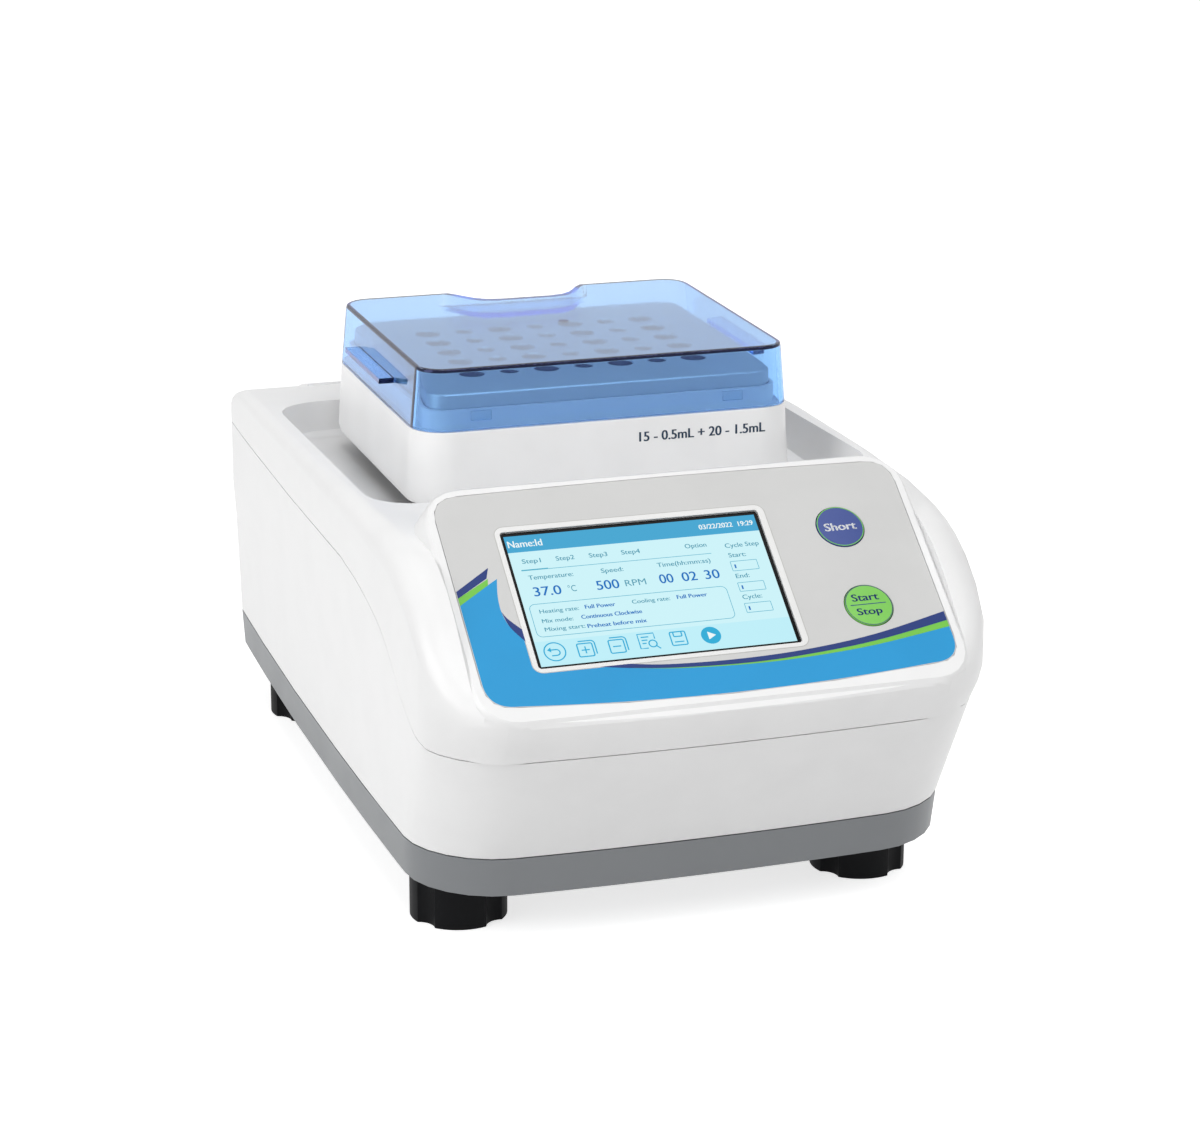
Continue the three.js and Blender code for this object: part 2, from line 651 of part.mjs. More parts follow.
let cover = outerForm.subtract(abovePad).add(padForm).add(deckPlate).intersect(abovePart(partingGap / 2))
  .subtract(wellForm(0)).subtract(coverCavity).subtract(wellOpening)
  .subtract(onPanel(overlayOutline(seatGap, -overlaySeat, padRound)))
  .subtract(onPanel(windowCut(0, -padDrop, padRound)));
for (const bore of buttonBores(-padDrop, padRound)) cover = cover.subtract(onPanel(bore));

// Touch glass in the window, display module and control board behind it
const glassRecess = 0.9;
const moduleMargin = 5;
const moduleThickness = 8.4;
const moduleTop = coverBack + seatGap;
const boardTop = moduleTop + moduleThickness + seatGap;
const boardThickness = 1.6;
const boardSideMargin = 5.7;
const boardHalfWidth = overlayWidth / 2 - boardSideMargin;
const boardHalfUp = 43;
const postDiameter = 6;
const postInset = 5;
const postX = boardHalfWidth - postInset;
const postUp = 36;
for (const x of [-postX, postX]) {
  for (const up of [-postUp, postUp]) {
    cover = cover.add(onPanel(rod(postDiameter, x, padCentreUp + up, seatGap - boardTop, -overlaySeat - shellWall / 2,
      10)));
  }
}
addPiece('top_cover', cover, whitePlastic);

const panelParts = new THREE.Group();
panelParts.applyMatrix4(panelFrame);
shaker.add(panelParts);
let film = overlayOutline(0, -overlayThickness, 0).subtract(windowCut(0, -padRound, padRound));
for (const bore of buttonBores(-padRound, padRound)) film = film.subtract(bore);
addPiece('panel_overlay', film, overlayFilm, panelParts);
addPiece('touch_glass', windowCut(-seatGap, -coverBack, -glassRecess), screenGlass, panelParts);
addPiece('display_module', centred(screenCentreX, windowHalfWidth + moduleMargin, screenCentreUp,
  windowHalfHeight + moduleMargin, -moduleTop - moduleThickness, -moduleTop), darkPlastic, panelParts);
addPiece('control_board', centred(0, boardHalfWidth, padCentreUp, boardHalfUp, -boardTop - boardThickness,
  -boardTop), circuit, panelParts);

// Two keys that press into the console, each over its switch on the board
const keyBevel = 0.8;
const flangeTop = -coverBack - runningGap;
const stemDiameter = 5;
const switchSize = 12;
const switchHeight = 3.4;
const switchBottom = seatGap - boardTop;
const switchTop = switchBottom + switchHeight;
const stemBottom = switchTop + buttonTravel + runningGap;
const keyRadius = buttonDiameter / 2;
const keyBody = turned([[0, stemBottom], [stemDiameter / 2, stemBottom], [stemDiameter / 2, flangeTop - buttonFlange],
  [keyRadius + buttonFlange, flangeTop - buttonFlange], [keyRadius + buttonFlange, flangeTop],
  [keyRadius, flangeTop], [keyRadius, buttonProud - keyBevel], [keyRadius - keyBevel, buttonProud],
  [0, buttonProud]], 20);
for (const [name, up, material] of buttonPlaces) {
  const key = addPiece(`${name}_button`, keyBody, material, panelParts);
  key.position.set(buttonX, up, 0);
  addPiece(`${name}_switch`, centred(buttonX, switchSize / 2, up, switchSize / 2, switchBottom, switchTop),
    darkPlastic, panelParts);
}

// Rear panel with a fan grille and cut-outs for the power inlet, switch and data socket
const fanHeight = (rearOpeningBottom + rearOpeningTop) / 2;
const grilleSlots = 8;
const grilleSlotHeight = 4;
const grillePitch = 8.4;
const inletRise = 26;
const inletHeight = rearOpeningBottom + inletRise;
const inletWidth = 47;
const inletTall = 31;
const rockerDrop = 18;
const rockerHeight = rearOpeningTop - rockerDrop;
const rockerFrameWidth = 21;
const rockerFrameTall = 23;
const usbX = -inletX;
const usbHeight = inletHeight;
const usbWidth = 12.4;
const usbTall = 11.4;
let rearPanel = rearOpening(rearPanelLap - seatGap, rearPanelInnerY, rearPanelOuterY);
const cutPanel = (x, halfX, z, halfZ) => {
  rearPanel = rearPanel.subtract(around(x, halfX, rearPanelInnerY - seatGap, rearPanelOuterY + seatGap, z, halfZ));
};
for (let i = 0; i < grilleSlots; i += 1) {
  const offset = (i - (grilleSlots - 1) / 2) * grillePitch;
  cutPanel(0, Math.sqrt((fanSize / 2 - grilleSlotHeight) ** 2 - offset * offset), fanHeight + offset,
    grilleSlotHeight / 2);
}
const panelCutouts = [[inletX, inletWidth, inletHeight, inletTall],
  [inletX, rockerFrameWidth, rockerHeight, rockerFrameTall], [usbX, usbWidth, usbHeight, usbTall]];
for (const [x, width, z, tall] of panelCutouts) cutPanel(x, width / 2 + seatGap, z, tall / 2 + seatGap);
addPiece('rear_panel', rearPanel, greyPlastic);

// Mains inlet: flange, moulded body, socket with three blades, and a bay for the fuse drawer
const inletDepth = 26;
const flangeMargin = 2.4;
const flangeThickness = 2.4;
const flangeInnerY = rearPanelOuterY + seatGap;
const flangeOuterY = flangeInnerY + flangeThickness;
const socketWidth = 24.6;
const socketTall = 16.6;
const socketDepth = 17;
const socketRise = 5.5;
const pinWidth = 2;
const pinTall = 4;
const pinLength = 12;
const pinSpread = 7;
const pinDrop = 1.8;
const drawerWidth = 26;
const drawerTall = 7;
const drawerDepth = 18;
const drawerDrop = 10.5;
const drawerProud = 0.8;
const drawerGrip = 1.6;
const socketHeight = inletHeight + socketRise;
const socketBackY = flangeOuterY - socketDepth;
const drawerHeight = inletHeight - drawerDrop;
const flanged = (x, width, z, tall, depth) => around(x, width / 2, flangeOuterY - depth, flangeOuterY, z, tall / 2)
  .add(around(x, width / 2 + flangeMargin, flangeInnerY, flangeOuterY, z, tall / 2 + flangeMargin));
let inlet = flanged(inletX, inletWidth, inletHeight, inletTall, inletDepth)
  .subtract(around(inletX, socketWidth / 2, socketBackY, reach, socketHeight, socketTall / 2))
  .subtract(around(inletX, drawerWidth / 2 + runningGap, flangeOuterY - drawerDepth - runningGap, reach,
    drawerHeight, drawerTall / 2 + runningGap));
for (const [x, drop] of [[-pinSpread, pinDrop], [0, -pinDrop], [pinSpread, pinDrop]]) {
  inlet = inlet.add(around(inletX + x, pinWidth / 2, socketBackY - seatGap, socketBackY + pinLength,
    socketHeight - drop, pinTall / 2));
}
addPiece('mains_inlet', inlet, darkPlastic);
const drawerFrontY = flangeOuterY + drawerProud;
addPiece('fuse_drawer', around(inletX, drawerWidth / 2, flangeOuterY - drawerDepth, drawerFrontY, drawerHeight,
  drawerTall / 2).add(around(inletX, drawerWidth / 4, flangeOuterY, drawerFrontY + drawerGrip,
  drawerHeight + drawerTall / 4, drawerTall / 4)), darkPlastic);

// Power rocker: part of a drum with a dished face, rocking in its frame
const rockerWidth = 15;
const rockerRadius = 8.6;
const rockerFaceHalfAngle = THREE.MathUtils.degToRad(62);
const rockerDish = 1.2;
const rockerProud = 1.2;
const rockerTilt = THREE.MathUtils.degToRad(8);
const rockerFrameDepth = 16;
const rockerArcSteps = 16;
const rockerFaceY = rockerRadius * Math.cos(rockerFaceHalfAngle);
const rockerY = flangeOuterY + rockerProud - rockerFaceY;
const rockerBack = Array.from({ length: rockerArcSteps + 1 }, (_, i) => {
  const turn = rockerFaceHalfAngle + ((2 * Math.PI - 2 * rockerFaceHalfAngle) * i) / rockerArcSteps;
  return [rockerRadius * Math.cos(turn), rockerRadius * Math.sin(turn)];
});
addPiece('rocker_frame', flanged(inletX, rockerFrameWidth, rockerHeight, rockerFrameTall, rockerFrameDepth)
  .subtract(around(inletX, rockerWidth / 2 + runningGap, rockerY - rockerRadius - runningGap, reach,
    rockerHeight, rockerRadius + runningGap)), darkPlastic);
const rocker = addPiece('power_rocker', acrossWidth([...rockerBack, [rockerFaceY - rockerDish, 0]],
  rockerWidth / 2), darkPlastic);
rocker.position.set(inletX, rockerY, rockerHeight);
rocker.rotation.x = -rockerTilt;

// Data socket: a steel shell with its tongue
const usbDepth = 17;
const usbWall = 1.3;
const usbCavityDepth = 9;
const usbTongueWidth = 5.6;
const usbTongueTall = 3;
const usbTongueSetback = 1.3;
const usbBackY = flangeOuterY - usbCavityDepth;
addPiece('usb_port', around(usbX, usbWidth / 2, flangeOuterY - usbDepth, flangeOuterY, usbHeight, usbTall / 2)
  .subtract(around(usbX, usbWidth / 2 - usbWall, usbBackY, reach, usbHeight, usbTall / 2 - usbWall))
  .add(around(usbX, usbTongueWidth / 2, usbBackY - seatGap, flangeOuterY - usbTongueSetback, usbHeight,
    usbTongueTall / 2)), steel);

// Cooling fan behind the grille: square frame with spokes, and its bladed rotor
const fanDepth = 25;
const fanRim = 2;
const rotorClearance = 2;
const fanHubDiameter = 34;
const fanBore = fanSize - 2 * fanRim;
const rotorDiameter = fanBore - 2 * rotorClearance;
const rotorDepth = 16;
const bladeCount = 7;
const bladeThickness = 1.8;
const bladeRoot = 3;
const bladePitch = THREE.MathUtils.degToRad(38);
const spokeWidth = 4;
const spokeThickness = 4;
const fanRearY = rearPanelInnerY - seatGap;
const fanFrontY = fanRearY - fanDepth;
const rotorRearY = fanRearY - spokeThickness - seatGap;
const rotorFrontY = rotorRearY - rotorDepth;
addPiece('fan_frame', around(0, fanSize / 2, fanFrontY, fanRearY, fanHeight, fanSize / 2)
  .subtract(rodAlongY(fanBore, 0, fanFrontY - cutOverrun, fanRearY + cutOverrun, fanHeight, 24))
  .add(around(0, fanBore / 2 + seatGap, fanRearY - spokeThickness, fanRearY, fanHeight, spokeWidth / 2))
  .add(around(0, spokeWidth / 2, fanRearY - spokeThickness, fanRearY, fanHeight, fanBore / 2 + seatGap))
  .add(rodAlongY(fanHubDiameter, 0, fanRearY - spokeThickness, fanRearY, fanHeight, 16)), darkPlastic);
const rotorSweep = rodAlongY(rotorDiameter, 0, rotorFrontY, rotorRearY, 0, 24);
const bladeLength = (rotorDiameter - fanHubDiameter) / 2 + bladeRoot;
let rotor = rodAlongY(fanHubDiameter, 0, rotorFrontY, rotorRearY, 0, 16);
for (let i = 0; i < bladeCount; i += 1) {
  const blade = new THREE.BoxGeometry(bladeThickness, rotorDepth, bladeLength);
  blade.rotateZ(bladePitch).translate(0, (rotorFrontY + rotorRearY) / 2, (rotorDiameter - bladeLength) / 2);
  blade.rotateY((2 * Math.PI * i) / bladeCount);
  rotor = rotor.add(toSolid(blade).intersect(rotorSweep));
}
addPiece('fan_rotor', rotor, darkPlastic).position.set(0, 0, fanHeight);

// Steel chassis plate with the power supply and the drive motor
const chassisSideSetback = 30.5;
const chassisFrontSetback = 18.5;
const chassisRearSetback = 43.5;
const chassisHalfWidth = bodyWidth / 2 - chassisSideSetback;
const chassisFrontY = bodyFront + frontOverhang + chassisFrontSetback;
const chassisRearY = bodyRear - chassisRearSetback;
const supplyHalfWidth = 58;
const supplyLength = 70;
const supplySetback = 4;
const supplyFrontY = chassisFrontY + supplySetback;
const supplyRearY = supplyFrontY + supplyLength;
const supplyHeight = 32;
const motorFlange = 6;
const motorFlangeHeight = 5;
const shaftInset = 16;
const shaftBottomHeight = motorTopHeight - shaftInset;
const bearingDiameter = 28;
const bearingHeight = 7;
const chassisTop = chassisBottomHeight + chassisThickness;
const onChassis = chassisTop + seatGap;
const shaftX = -orbitRadius;
const shaftBore = motorShaftDiameter + 2 * runningGap;
addPiece('chassis_plate', block(-chassisHalfWidth, chassisHalfWidth, chassisFrontY, chassisRearY,
  chassisBottomHeight, chassisTop), steel);
addPiece('power_supply', block(-supplyHalfWidth, supplyHalfWidth, supplyFrontY, supplyRearY, onChassis,
  onChassis + supplyHeight), steel);
addPiece('drive_motor', rod(motorDiameter, shaftX, headCentreY, onChassis, motorTopHeight, 24)
  .add(rod(motorDiameter + 2 * motorFlange, shaftX, headCentreY, onChassis, onChassis + motorFlangeHeight, 24))
  .subtract(rod(shaftBore, shaftX, headCentreY, shaftBottomHeight - runningGap, reach, 16))
  .subtract(rod(bearingDiameter + 2 * seatGap, shaftX, headCentreY, motorTopHeight - bearingHeight - seatGap,
    reach, 20)), darkPlastic);
addPiece('main_bearing', ring(bearingDiameter, shaftBore, shaftX, headCentreY, motorTopHeight - bearingHeight,
  motorTopHeight, 20), steel);

// Eccentric shaft: its pin stands one orbit radius off the motor axis, with half a ring as balance
const hubClearance = 4;
const weightDiameter = 60;
const weightDrop = 1;
const hubBottomHeight = motorTopHeight + hubClearance;
const hubTopHeight = hubBottomHeight + eccentricHubHeight;
const platformTop = platformHeight + platformThickness;
const pinTopHeight = platformTop - seatGap;
addPiece('eccentric_shaft', rod(motorShaftDiameter, shaftX, headCentreY, shaftBottomHeight,
  hubBottomHeight + seatGap, 16)
  .add(rod(eccentricHubDiameter, shaftX, headCentreY, hubBottomHeight, hubTopHeight, 24))
  .add(rod(eccentricPinDiameter, 0, headCentreY, hubTopHeight - seatGap, pinTopHeight, 16)), steel);
addPiece('counterweight', ring(weightDiameter, eccentricHubDiameter + 2 * seatGap, shaftX, headCentreY,
  hubBottomHeight + weightDrop, hubTopHeight - weightDrop, 24)
  .subtract(block(shaftX, reach, -reach, reach, 0, reach)), steel);

// Two idler cranks with the same throw keep the platform from turning
const idlerPostRise = 2;
const idlerShaftLength = 22;
const idlerCrankHeight = 8;
const idlerPostTop = motorTopHeight + idlerPostRise;
const idlerShaftBottom = idlerPostTop - idlerShaftLength;
const idlerCrankTop = idlerPostTop + idlerCrankHeight;
const idlerBushDiameter = 12;
const sideNames = [['left', -1], ['right', 1]];
for (const [side, sign] of sideNames) {
  const x = sign * idlerX - orbitRadius;
  const pinX = sign * idlerX;
  addPiece(`idler_post_${side}`, rod(idlerPostDiameter, x, headCentreY, onChassis, idlerPostTop, 16)
    .subtract(rod(idlerShaftDiameter + 2 * runningGap, x, headCentreY, idlerShaftBottom - runningGap, reach, 12)),
  anodised);
  addPiece(`idler_crank_${side}`, rod(idlerShaftDiameter, x, headCentreY, idlerShaftBottom,
    idlerPostTop + 2 * seatGap, 12)
    .add(rod(idlerPostDiameter, x, headCentreY, idlerPostTop + seatGap, idlerCrankTop, 16))
    .add(rod(idlerPinDiameter, pinX, headCentreY, idlerCrankTop - seatGap, pinTopHeight, 12)), steel);
  addPiece(`idler_bush_${side}`, ring(idlerBushDiameter, idlerPinDiameter + 2 * runningGap, pinX, headCentreY,
    platformHeight, platformTop, 12), steel);
}

// Orbiting platform: plate with seats for its bearings and four pillars up to the head
const pillarPlaces = [-pillarX, pillarX].flatMap((x) => (
  [-pillarY, pillarY].map((y) => [x, headCentreY + y])));
let platform = roundedBlock(platformHalfWidth, 0, platformHalfDepth, headCentreY, pillarDiameter, platformHeight,
  platformTop, 3);
for (const [x, y] of pillarPlaces) {
  platform = platform.add(rod(pillarDiameter, x, y, pinTopHeight, housingBottomHeight, 12));
}
const platformSeats = [[0, pinBearingDiameter, 20], [-idlerX, idlerBushDiameter, 12], [idlerX, idlerBushDiameter, 12]];
for (const [x, diameter, sides] of platformSeats) {
  platform = platform.subtract(rod(diameter + 2 * seatGap, x, headCentreY, platformHeight - cutOverrun,
    platformTop + cutOverrun, sides));
}
addPiece('shaker_platform', platform, anodised);
addPiece('pin_bearing', ring(pinBearingDiameter, eccentricPinDiameter + 2 * runningGap, 0, headCentreY,
  platformHeight, platformTop, 20), steel);

// Head base: the plate that the pillars carry, with a window for the heat sink and pads for the block
const baseGap = 0.6;
const baseThickness = 2.4;
const padDiameter = 10;
const sinkInsetX = 5;
const sinkInsetY = 7;
const sinkHalfWidth = pillarX - sinkInsetX;
const sinkHalfDepth = pillarY - sinkInsetY;
const sinkClearance = 2;
const baseBottom = housingBottomHeight + seatGap;
const baseTop = baseBottom + baseThickness;
const insideHousing = (z0, z1) => roundedBlock(housingTopHalfWidth - housingWall - baseGap, 0,
  housingTopHalfDepth - housingWall - baseGap, headCentreY, housingCorner - housingWall, z0, z1, 4);
let headBase = insideHousing(baseBottom, baseTop).subtract(centred(0, sinkHalfWidth + sinkClearance, headCentreY,
  sinkHalfDepth + sinkClearance, 0, reach));
for (const [x, y] of pillarPlaces) {
  headBase = headBase.add(rod(padDiameter, x, y, baseTop - seatGap, blockBottomHeight - seatGap, 12));
}
addPiece('head_base', headBase, darkPlastic);

// Finned heat sink under two thermoelectric modules
const moduleHeight = 4;
const sinkBaseThickness = 5.9;
const finClearance = 5;
const sinkBaseTop = blockBottomHeight - moduleHeight - 2 * seatGap;
const sinkBaseBottom = sinkBaseTop - sinkBaseThickness;
const sinkFinBottom = platformTop + finClearance;
const finCount = 13;
const finThickness = 1.8;
const moduleHalf = 20;
const moduleX = 30;
let sink = centred(0, sinkHalfWidth, headCentreY, sinkHalfDepth, sinkBaseBottom, sinkBaseTop);
for (let i = 0; i < finCount; i += 1) {
  const x = (sinkHalfWidth - finThickness / 2) * ((2 * i) / (finCount - 1) - 1);
  sink = sink.add(centred(x, finThickness / 2, headCentreY, sinkHalfDepth, sinkFinBottom,
    sinkBaseBottom + seatGap));
}
addPiece('heat_sink', sink, anodised);
for (const [side, sign] of sideNames) {
  addPiece(`thermoelectric_module_${side}`, centred(sign * moduleX, moduleHalf, headCentreY, moduleHalf,
    sinkBaseTop + seatGap, blockBottomHeight - seatGap), ceramic);
}

// Aluminium block: round-cornered, bevelled, with rows of bored and tapered tube wells
const blockBevel = 1.2;
const blockLevel = (inward, height) => ({
  halfWidth: blockHalfWidth - inward, halfDepth: blockHalfDepth - inward, radius: blockCorner - inward, height });
const wellCut = (diameter, floor, sides) => turned([[0, blockBottomHeight + floor],
  [wellTipDiameter / 2, blockBottomHeight + floor], [diameter / 2, blockBottomHeight + floor + wellTaper],
  [diameter / 2, blockTopHeight + cutOverrun], [0, blockTopHeight + cutOverrun]], sides);
const wellKinds = [[bigWellColumns, wellCut(bigWellDiameter, bigWellFloor, 12)],
  [smallWellColumns, wellCut(smallWellDiameter, smallWellFloor, 8)]];
let heatBlock = roundedLoft([blockLevel(0, blockBottomHeight), blockLevel(0, blockTopHeight - blockBevel),
  blockLevel(blockBevel, blockTopHeight)], 0, headCentreY, 4);
for (const [columns, well] of wellKinds) {
  for (let row = 0; row < wellRows; row += 1) {
    const y = headCentreY + (row - (wellRows - 1) / 2) * wellPitchY;
    for (let column = 0; column < columns; column += 1) {
      heatBlock = heatBlock.subtract(well.translate([(column - (columns - 1) / 2) * wellPitchX, y, 0]));
    }
  }
}
addPiece('heat_block', heatBlock, anodised);

// Foam jacket round the block, and the white housing over both with its upstand round the block
const housingFoot = 3;
const housingFootHeight = 4;
const jacketTop = housingTopHeight - housingWall - seatGap;
const aroundBlock = (grow, z0, z1) => roundedBlock(blockHalfWidth + grow, 0, blockHalfDepth + grow, headCentreY,
  blockCorner + grow, z0, z1, 4);
addPiece('insulation_jacket', insideHousing(blockBottomHeight + seatGap, jacketTop)
  .subtract(aroundBlock(seatGap, 0, reach)), foam);
const housingLevel = (spread, height) => ({
  halfWidth: housingTopHalfWidth + spread, halfDepth: housingTopHalfDepth + spread,
  radius: housingCorner + spread, height });
const footCut = housingFoot * (1 - Math.SQRT1_2);
const housingOuter = roundedLoft([
  housingLevel(housingSpread - housingFoot, housingBottomHeight),
  housingLevel(housingSpread - footCut, housingBottomHeight + footCut),
  housingLevel(housingSpread, housingBottomHeight + housingFootHeight),
  housingLevel(0, housingTopHeight)], 0, headCentreY, 6);
const housingInner = roundedLoft([housingLevel(-housingWall, 0),
  housingLevel(-housingWall, housingTopHeight - housingWall)], 0, headCentreY, 5);
addPiece('head_housing', housingOuter.subtract(housingInner)
  .add(aroundBlock(seatGap + upstandWall, housingTopHeight - housingWall, upstandTopHeight))
  .subtract(aroundBlock(seatGap, 0, reach)), whitePlastic);

// Clear lid: drafted shell, finger ledges at its sides, a scoop in its rear edge and two clips
const ledgeLength = 60;
const ledgeReach = 5.5;
const ledgeThickness = 2.4;
const ledgeRise = 13;
const ledgeHeight = housingTopHeight + ledgeRise;
const ledgeCentreY = 35;
const scoopRearHalfWidth = 36;
const scoopFlankX = 27;
const scoopFrontHalfWidth = 12;
const scoopDepth = 19.5;
const scoopDrop = 8;
const clipX = 57;
const clipWidth = 9;
const clipTall = 4;
const clipRise = 6;
const clipHeight = housingTopHeight + clipRise;
const clipReach = 1.2;
const lidBottomHeight = housingTopHeight + seatGap;
const lidRoundCut = lidRound * (1 - Math.SQRT1_2);
const lidLevel = (inward, height) => ({
  halfWidth: lidBottomHalfWidth - inward, halfDepth: lidBottomHalfDepth - inward, radius: lidCorner - inward,
  height });
const lidOuter = roundedLoft([lidLevel(0, lidBottomHeight), lidLevel(lidDraft, lidTopHeight - lidRound),
  lidLevel(lidDraft + lidRoundCut, lidTopHeight - lidRoundCut), lidLevel(lidDraft + lidRound, lidTopHeight)],
0, headCentreY, 6);
const lidInner = roundedLoft([lidLevel(lidWall, lidBottomHeight - cutOverrun),
  lidLevel(lidWall + lidDraft, lidTopHeight - lidWall)], 0, headCentreY, 6);

function scoopForm(grow, floorHeight) {
  const rim = headCentreY + lidBottomHalfDepth - lidDraft;
  const front = rim - scoopDepth - grow;
  const rearHalf = scoopRearHalfWidth + grow;
  const flank = scoopFlankX + grow;
  const frontHalf = scoopFrontHalfWidth + grow;
  const shape = new THREE.Shape();
  shape.moveTo(rearHalf, rim + reach);
  shape.lineTo(rearHalf, rim);
  shape.bezierCurveTo(flank, rim, flank, front, frontHalf, front);
  shape.lineTo(-frontHalf, front);
  shape.bezierCurveTo(-flank, front, -flank, rim, -rearHalf, rim);
  shape.lineTo(-rearHalf, rim + reach);
  const geometry = new THREE.ExtrudeGeometry(shape, { depth: reach, bevelEnabled: false, curveSegments: 6 });
  return toSolid(geometry.translate(0, 0, floorHeight));
}

const scoopFloor = lidTopHeight - scoopDrop;
let lid = lidOuter.subtract(lidInner.subtract(scoopForm(lidWall, scoopFloor - lidWall)))
  .subtract(scoopForm(0, scoopFloor));
const clipY = headCentreY - lidBottomHalfDepth + lidWall;
for (const side of [-1, 1]) {
  lid = lid.add(centred(side * (lidBottomHalfWidth - lidDraft + (ledgeReach + lidDraft) / 2),
    (ledgeReach + lidDraft) / 2, ledgeCentreY, ledgeLength / 2, ledgeHeight - ledgeThickness / 2,
    ledgeHeight + ledgeThickness / 2))
    .add(around(side * clipX, clipWidth / 2, clipY, clipY + clipReach, clipHeight, clipTall / 2));
}
addPiece('lid', lid, clearBlue);

export default shaker;
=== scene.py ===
# %% [markdown]
# # A benchtop incubated shaker
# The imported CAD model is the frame: its bodies, joints and sizes stay as they are. This lesson gives it
# rounded edges, printed and lit surfaces, small fittings and finishes. Blender works in metres here, so
# each size of the shaker is written in millimetres and multiplied by MM once, where it enters a tool.

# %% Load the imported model
import json
import math

import bpy
from mathutils import Matrix, Vector

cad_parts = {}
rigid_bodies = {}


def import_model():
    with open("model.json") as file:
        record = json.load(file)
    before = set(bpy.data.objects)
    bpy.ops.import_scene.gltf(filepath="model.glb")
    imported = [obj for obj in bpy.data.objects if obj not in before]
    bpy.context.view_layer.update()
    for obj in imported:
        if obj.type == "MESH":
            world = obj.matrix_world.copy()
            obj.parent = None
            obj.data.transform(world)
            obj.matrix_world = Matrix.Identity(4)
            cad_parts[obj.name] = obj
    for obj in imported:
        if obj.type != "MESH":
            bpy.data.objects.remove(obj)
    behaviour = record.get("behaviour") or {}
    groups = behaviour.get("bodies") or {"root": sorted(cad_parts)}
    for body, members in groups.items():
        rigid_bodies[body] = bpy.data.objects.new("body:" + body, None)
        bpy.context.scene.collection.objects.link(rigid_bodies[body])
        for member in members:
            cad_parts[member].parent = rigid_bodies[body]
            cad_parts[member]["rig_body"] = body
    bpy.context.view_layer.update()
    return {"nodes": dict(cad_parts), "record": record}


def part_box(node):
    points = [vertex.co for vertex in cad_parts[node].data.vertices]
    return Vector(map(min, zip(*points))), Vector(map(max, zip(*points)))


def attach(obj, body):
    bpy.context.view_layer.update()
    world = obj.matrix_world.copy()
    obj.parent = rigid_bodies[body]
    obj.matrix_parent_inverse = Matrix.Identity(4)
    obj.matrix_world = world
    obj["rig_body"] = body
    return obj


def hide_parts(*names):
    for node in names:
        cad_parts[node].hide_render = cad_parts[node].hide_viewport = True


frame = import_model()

MM = 0.001
nodes = frame["nodes"]

# %% [markdown]
# ## Camera
# The shaker is seen from the front left and a little from above. A camera can be moved by eye until the
# picture fits, but that takes many tries. Here the place and the lens were worked out from the screen,
# whose corners make a known rectangle. The camera is then built from three directions, right, up and
# back, because they say plainly where each side of the picture points.

# %% Set up the camera
PICTURE_WIDTH = 1200
SENSOR_WIDTH = 36
FOCAL_PIXELS = 3298.7
CAMERA_PLACE = (-434.81, -1342.95, 553.64)
CAMERA_ANGLES = {"around": -18.29, "above": 17.54, "roll": 0.29}

around, above, roll = (math.radians(angle) for angle in CAMERA_ANGLES.values())
back = Vector((math.sin(around) * math.cos(above), -math.cos(around) * math.cos(above), math.sin(above)))
level = (-back).cross(Vector((0, 0, 1))).normalized()
upright = level.cross(-back)
right = level * math.cos(roll) + upright * math.sin(roll)
up = upright * math.cos(roll) - level * math.sin(roll)
facing = Matrix((right, up, back)).transposed().to_4x4()
camera = bpy.data.objects.new("camera", bpy.data.cameras.new("camera"))
camera.data.sensor_width = SENSOR_WIDTH
camera.data.lens = FOCAL_PIXELS / PICTURE_WIDTH * SENSOR_WIDTH
camera.matrix_world = Matrix.Translation(Vector(CAMERA_PLACE) * MM) @ facing
scene = bpy.context.scene
scene.collection.objects.link(camera)
scene.camera = camera
scene.view_settings.view_transform = "Standard"
print("lens in millimetres:", round(camera.data.lens, 2))

# %% [markdown]
# ## Nodes and colours
# A finish can be built by hand in the shader editor, one node at a time. Code does the same, and lets one
# recipe serve many finishes. Three small functions are enough. One turns a screen colour, written as hex,
# into the linear values that Blender mixes light with. One starts a material, and one adds a node.

# %% Write the helpers of every material
def linear(hex_colour):
    """A screen colour as linear values, by the curve of the sRGB standard."""
    channels = [int(hex_colour[i:i + 2], 16) / 255 for i in (0, 2, 4)]
    return tuple(c / 12.92 if c <= 0.04045 else ((c + 0.055) / 1.055) ** 2.4 for c in channels) + (1,)


def new_material(name):
    """A new material, with its node tree and its main shader."""
    material = bpy.data.materials.new(name)
    material.use_nodes = True
    return material, material.node_tree, material.node_tree.nodes["Principled BSDF"]


def add_node(tree, kind, feeds=None, **settings):
    """Add a node. feeds gives values or other nodes' outputs for its inputs."""
    node = tree.nodes.new(kind)
    for name, value in settings.items():
        setattr(node, name, value)
    for name, value in (feeds or {}).items():
        if isinstance(value, bpy.types.NodeSocket):
            tree.links.new(value, node.inputs[name])
        else:
            node.inputs[name].default_value = value
    return node


WHITE = linear("FFFFFF")
print("white is", WHITE)

# %% [markdown]
# ## Studio
# A white product picture has light from everywhere, two large soft lamps, one at the left and one in
# front, and a weaker one overhead. A world that is simply white would light every face alike, so it shows
# white to the camera, to reflections and through glass, but lights the shaker at a plain level. Large
# lamps give soft shadows. The studio's places and sizes are in metres.

# %% Light the studio
SKY_STRENGTH = 0.38
LAMPS = {"key": {"at": (-2.2, -0.6, 1.0), "watts": 22, "size": 1.6},
         "fill": {"at": (0.2, -1.5, 2.0), "watts": 26, "size": 1.8},
         "top": {"at": (0.1, 0.4, 2.3), "watts": 9, "size": 1.8}}


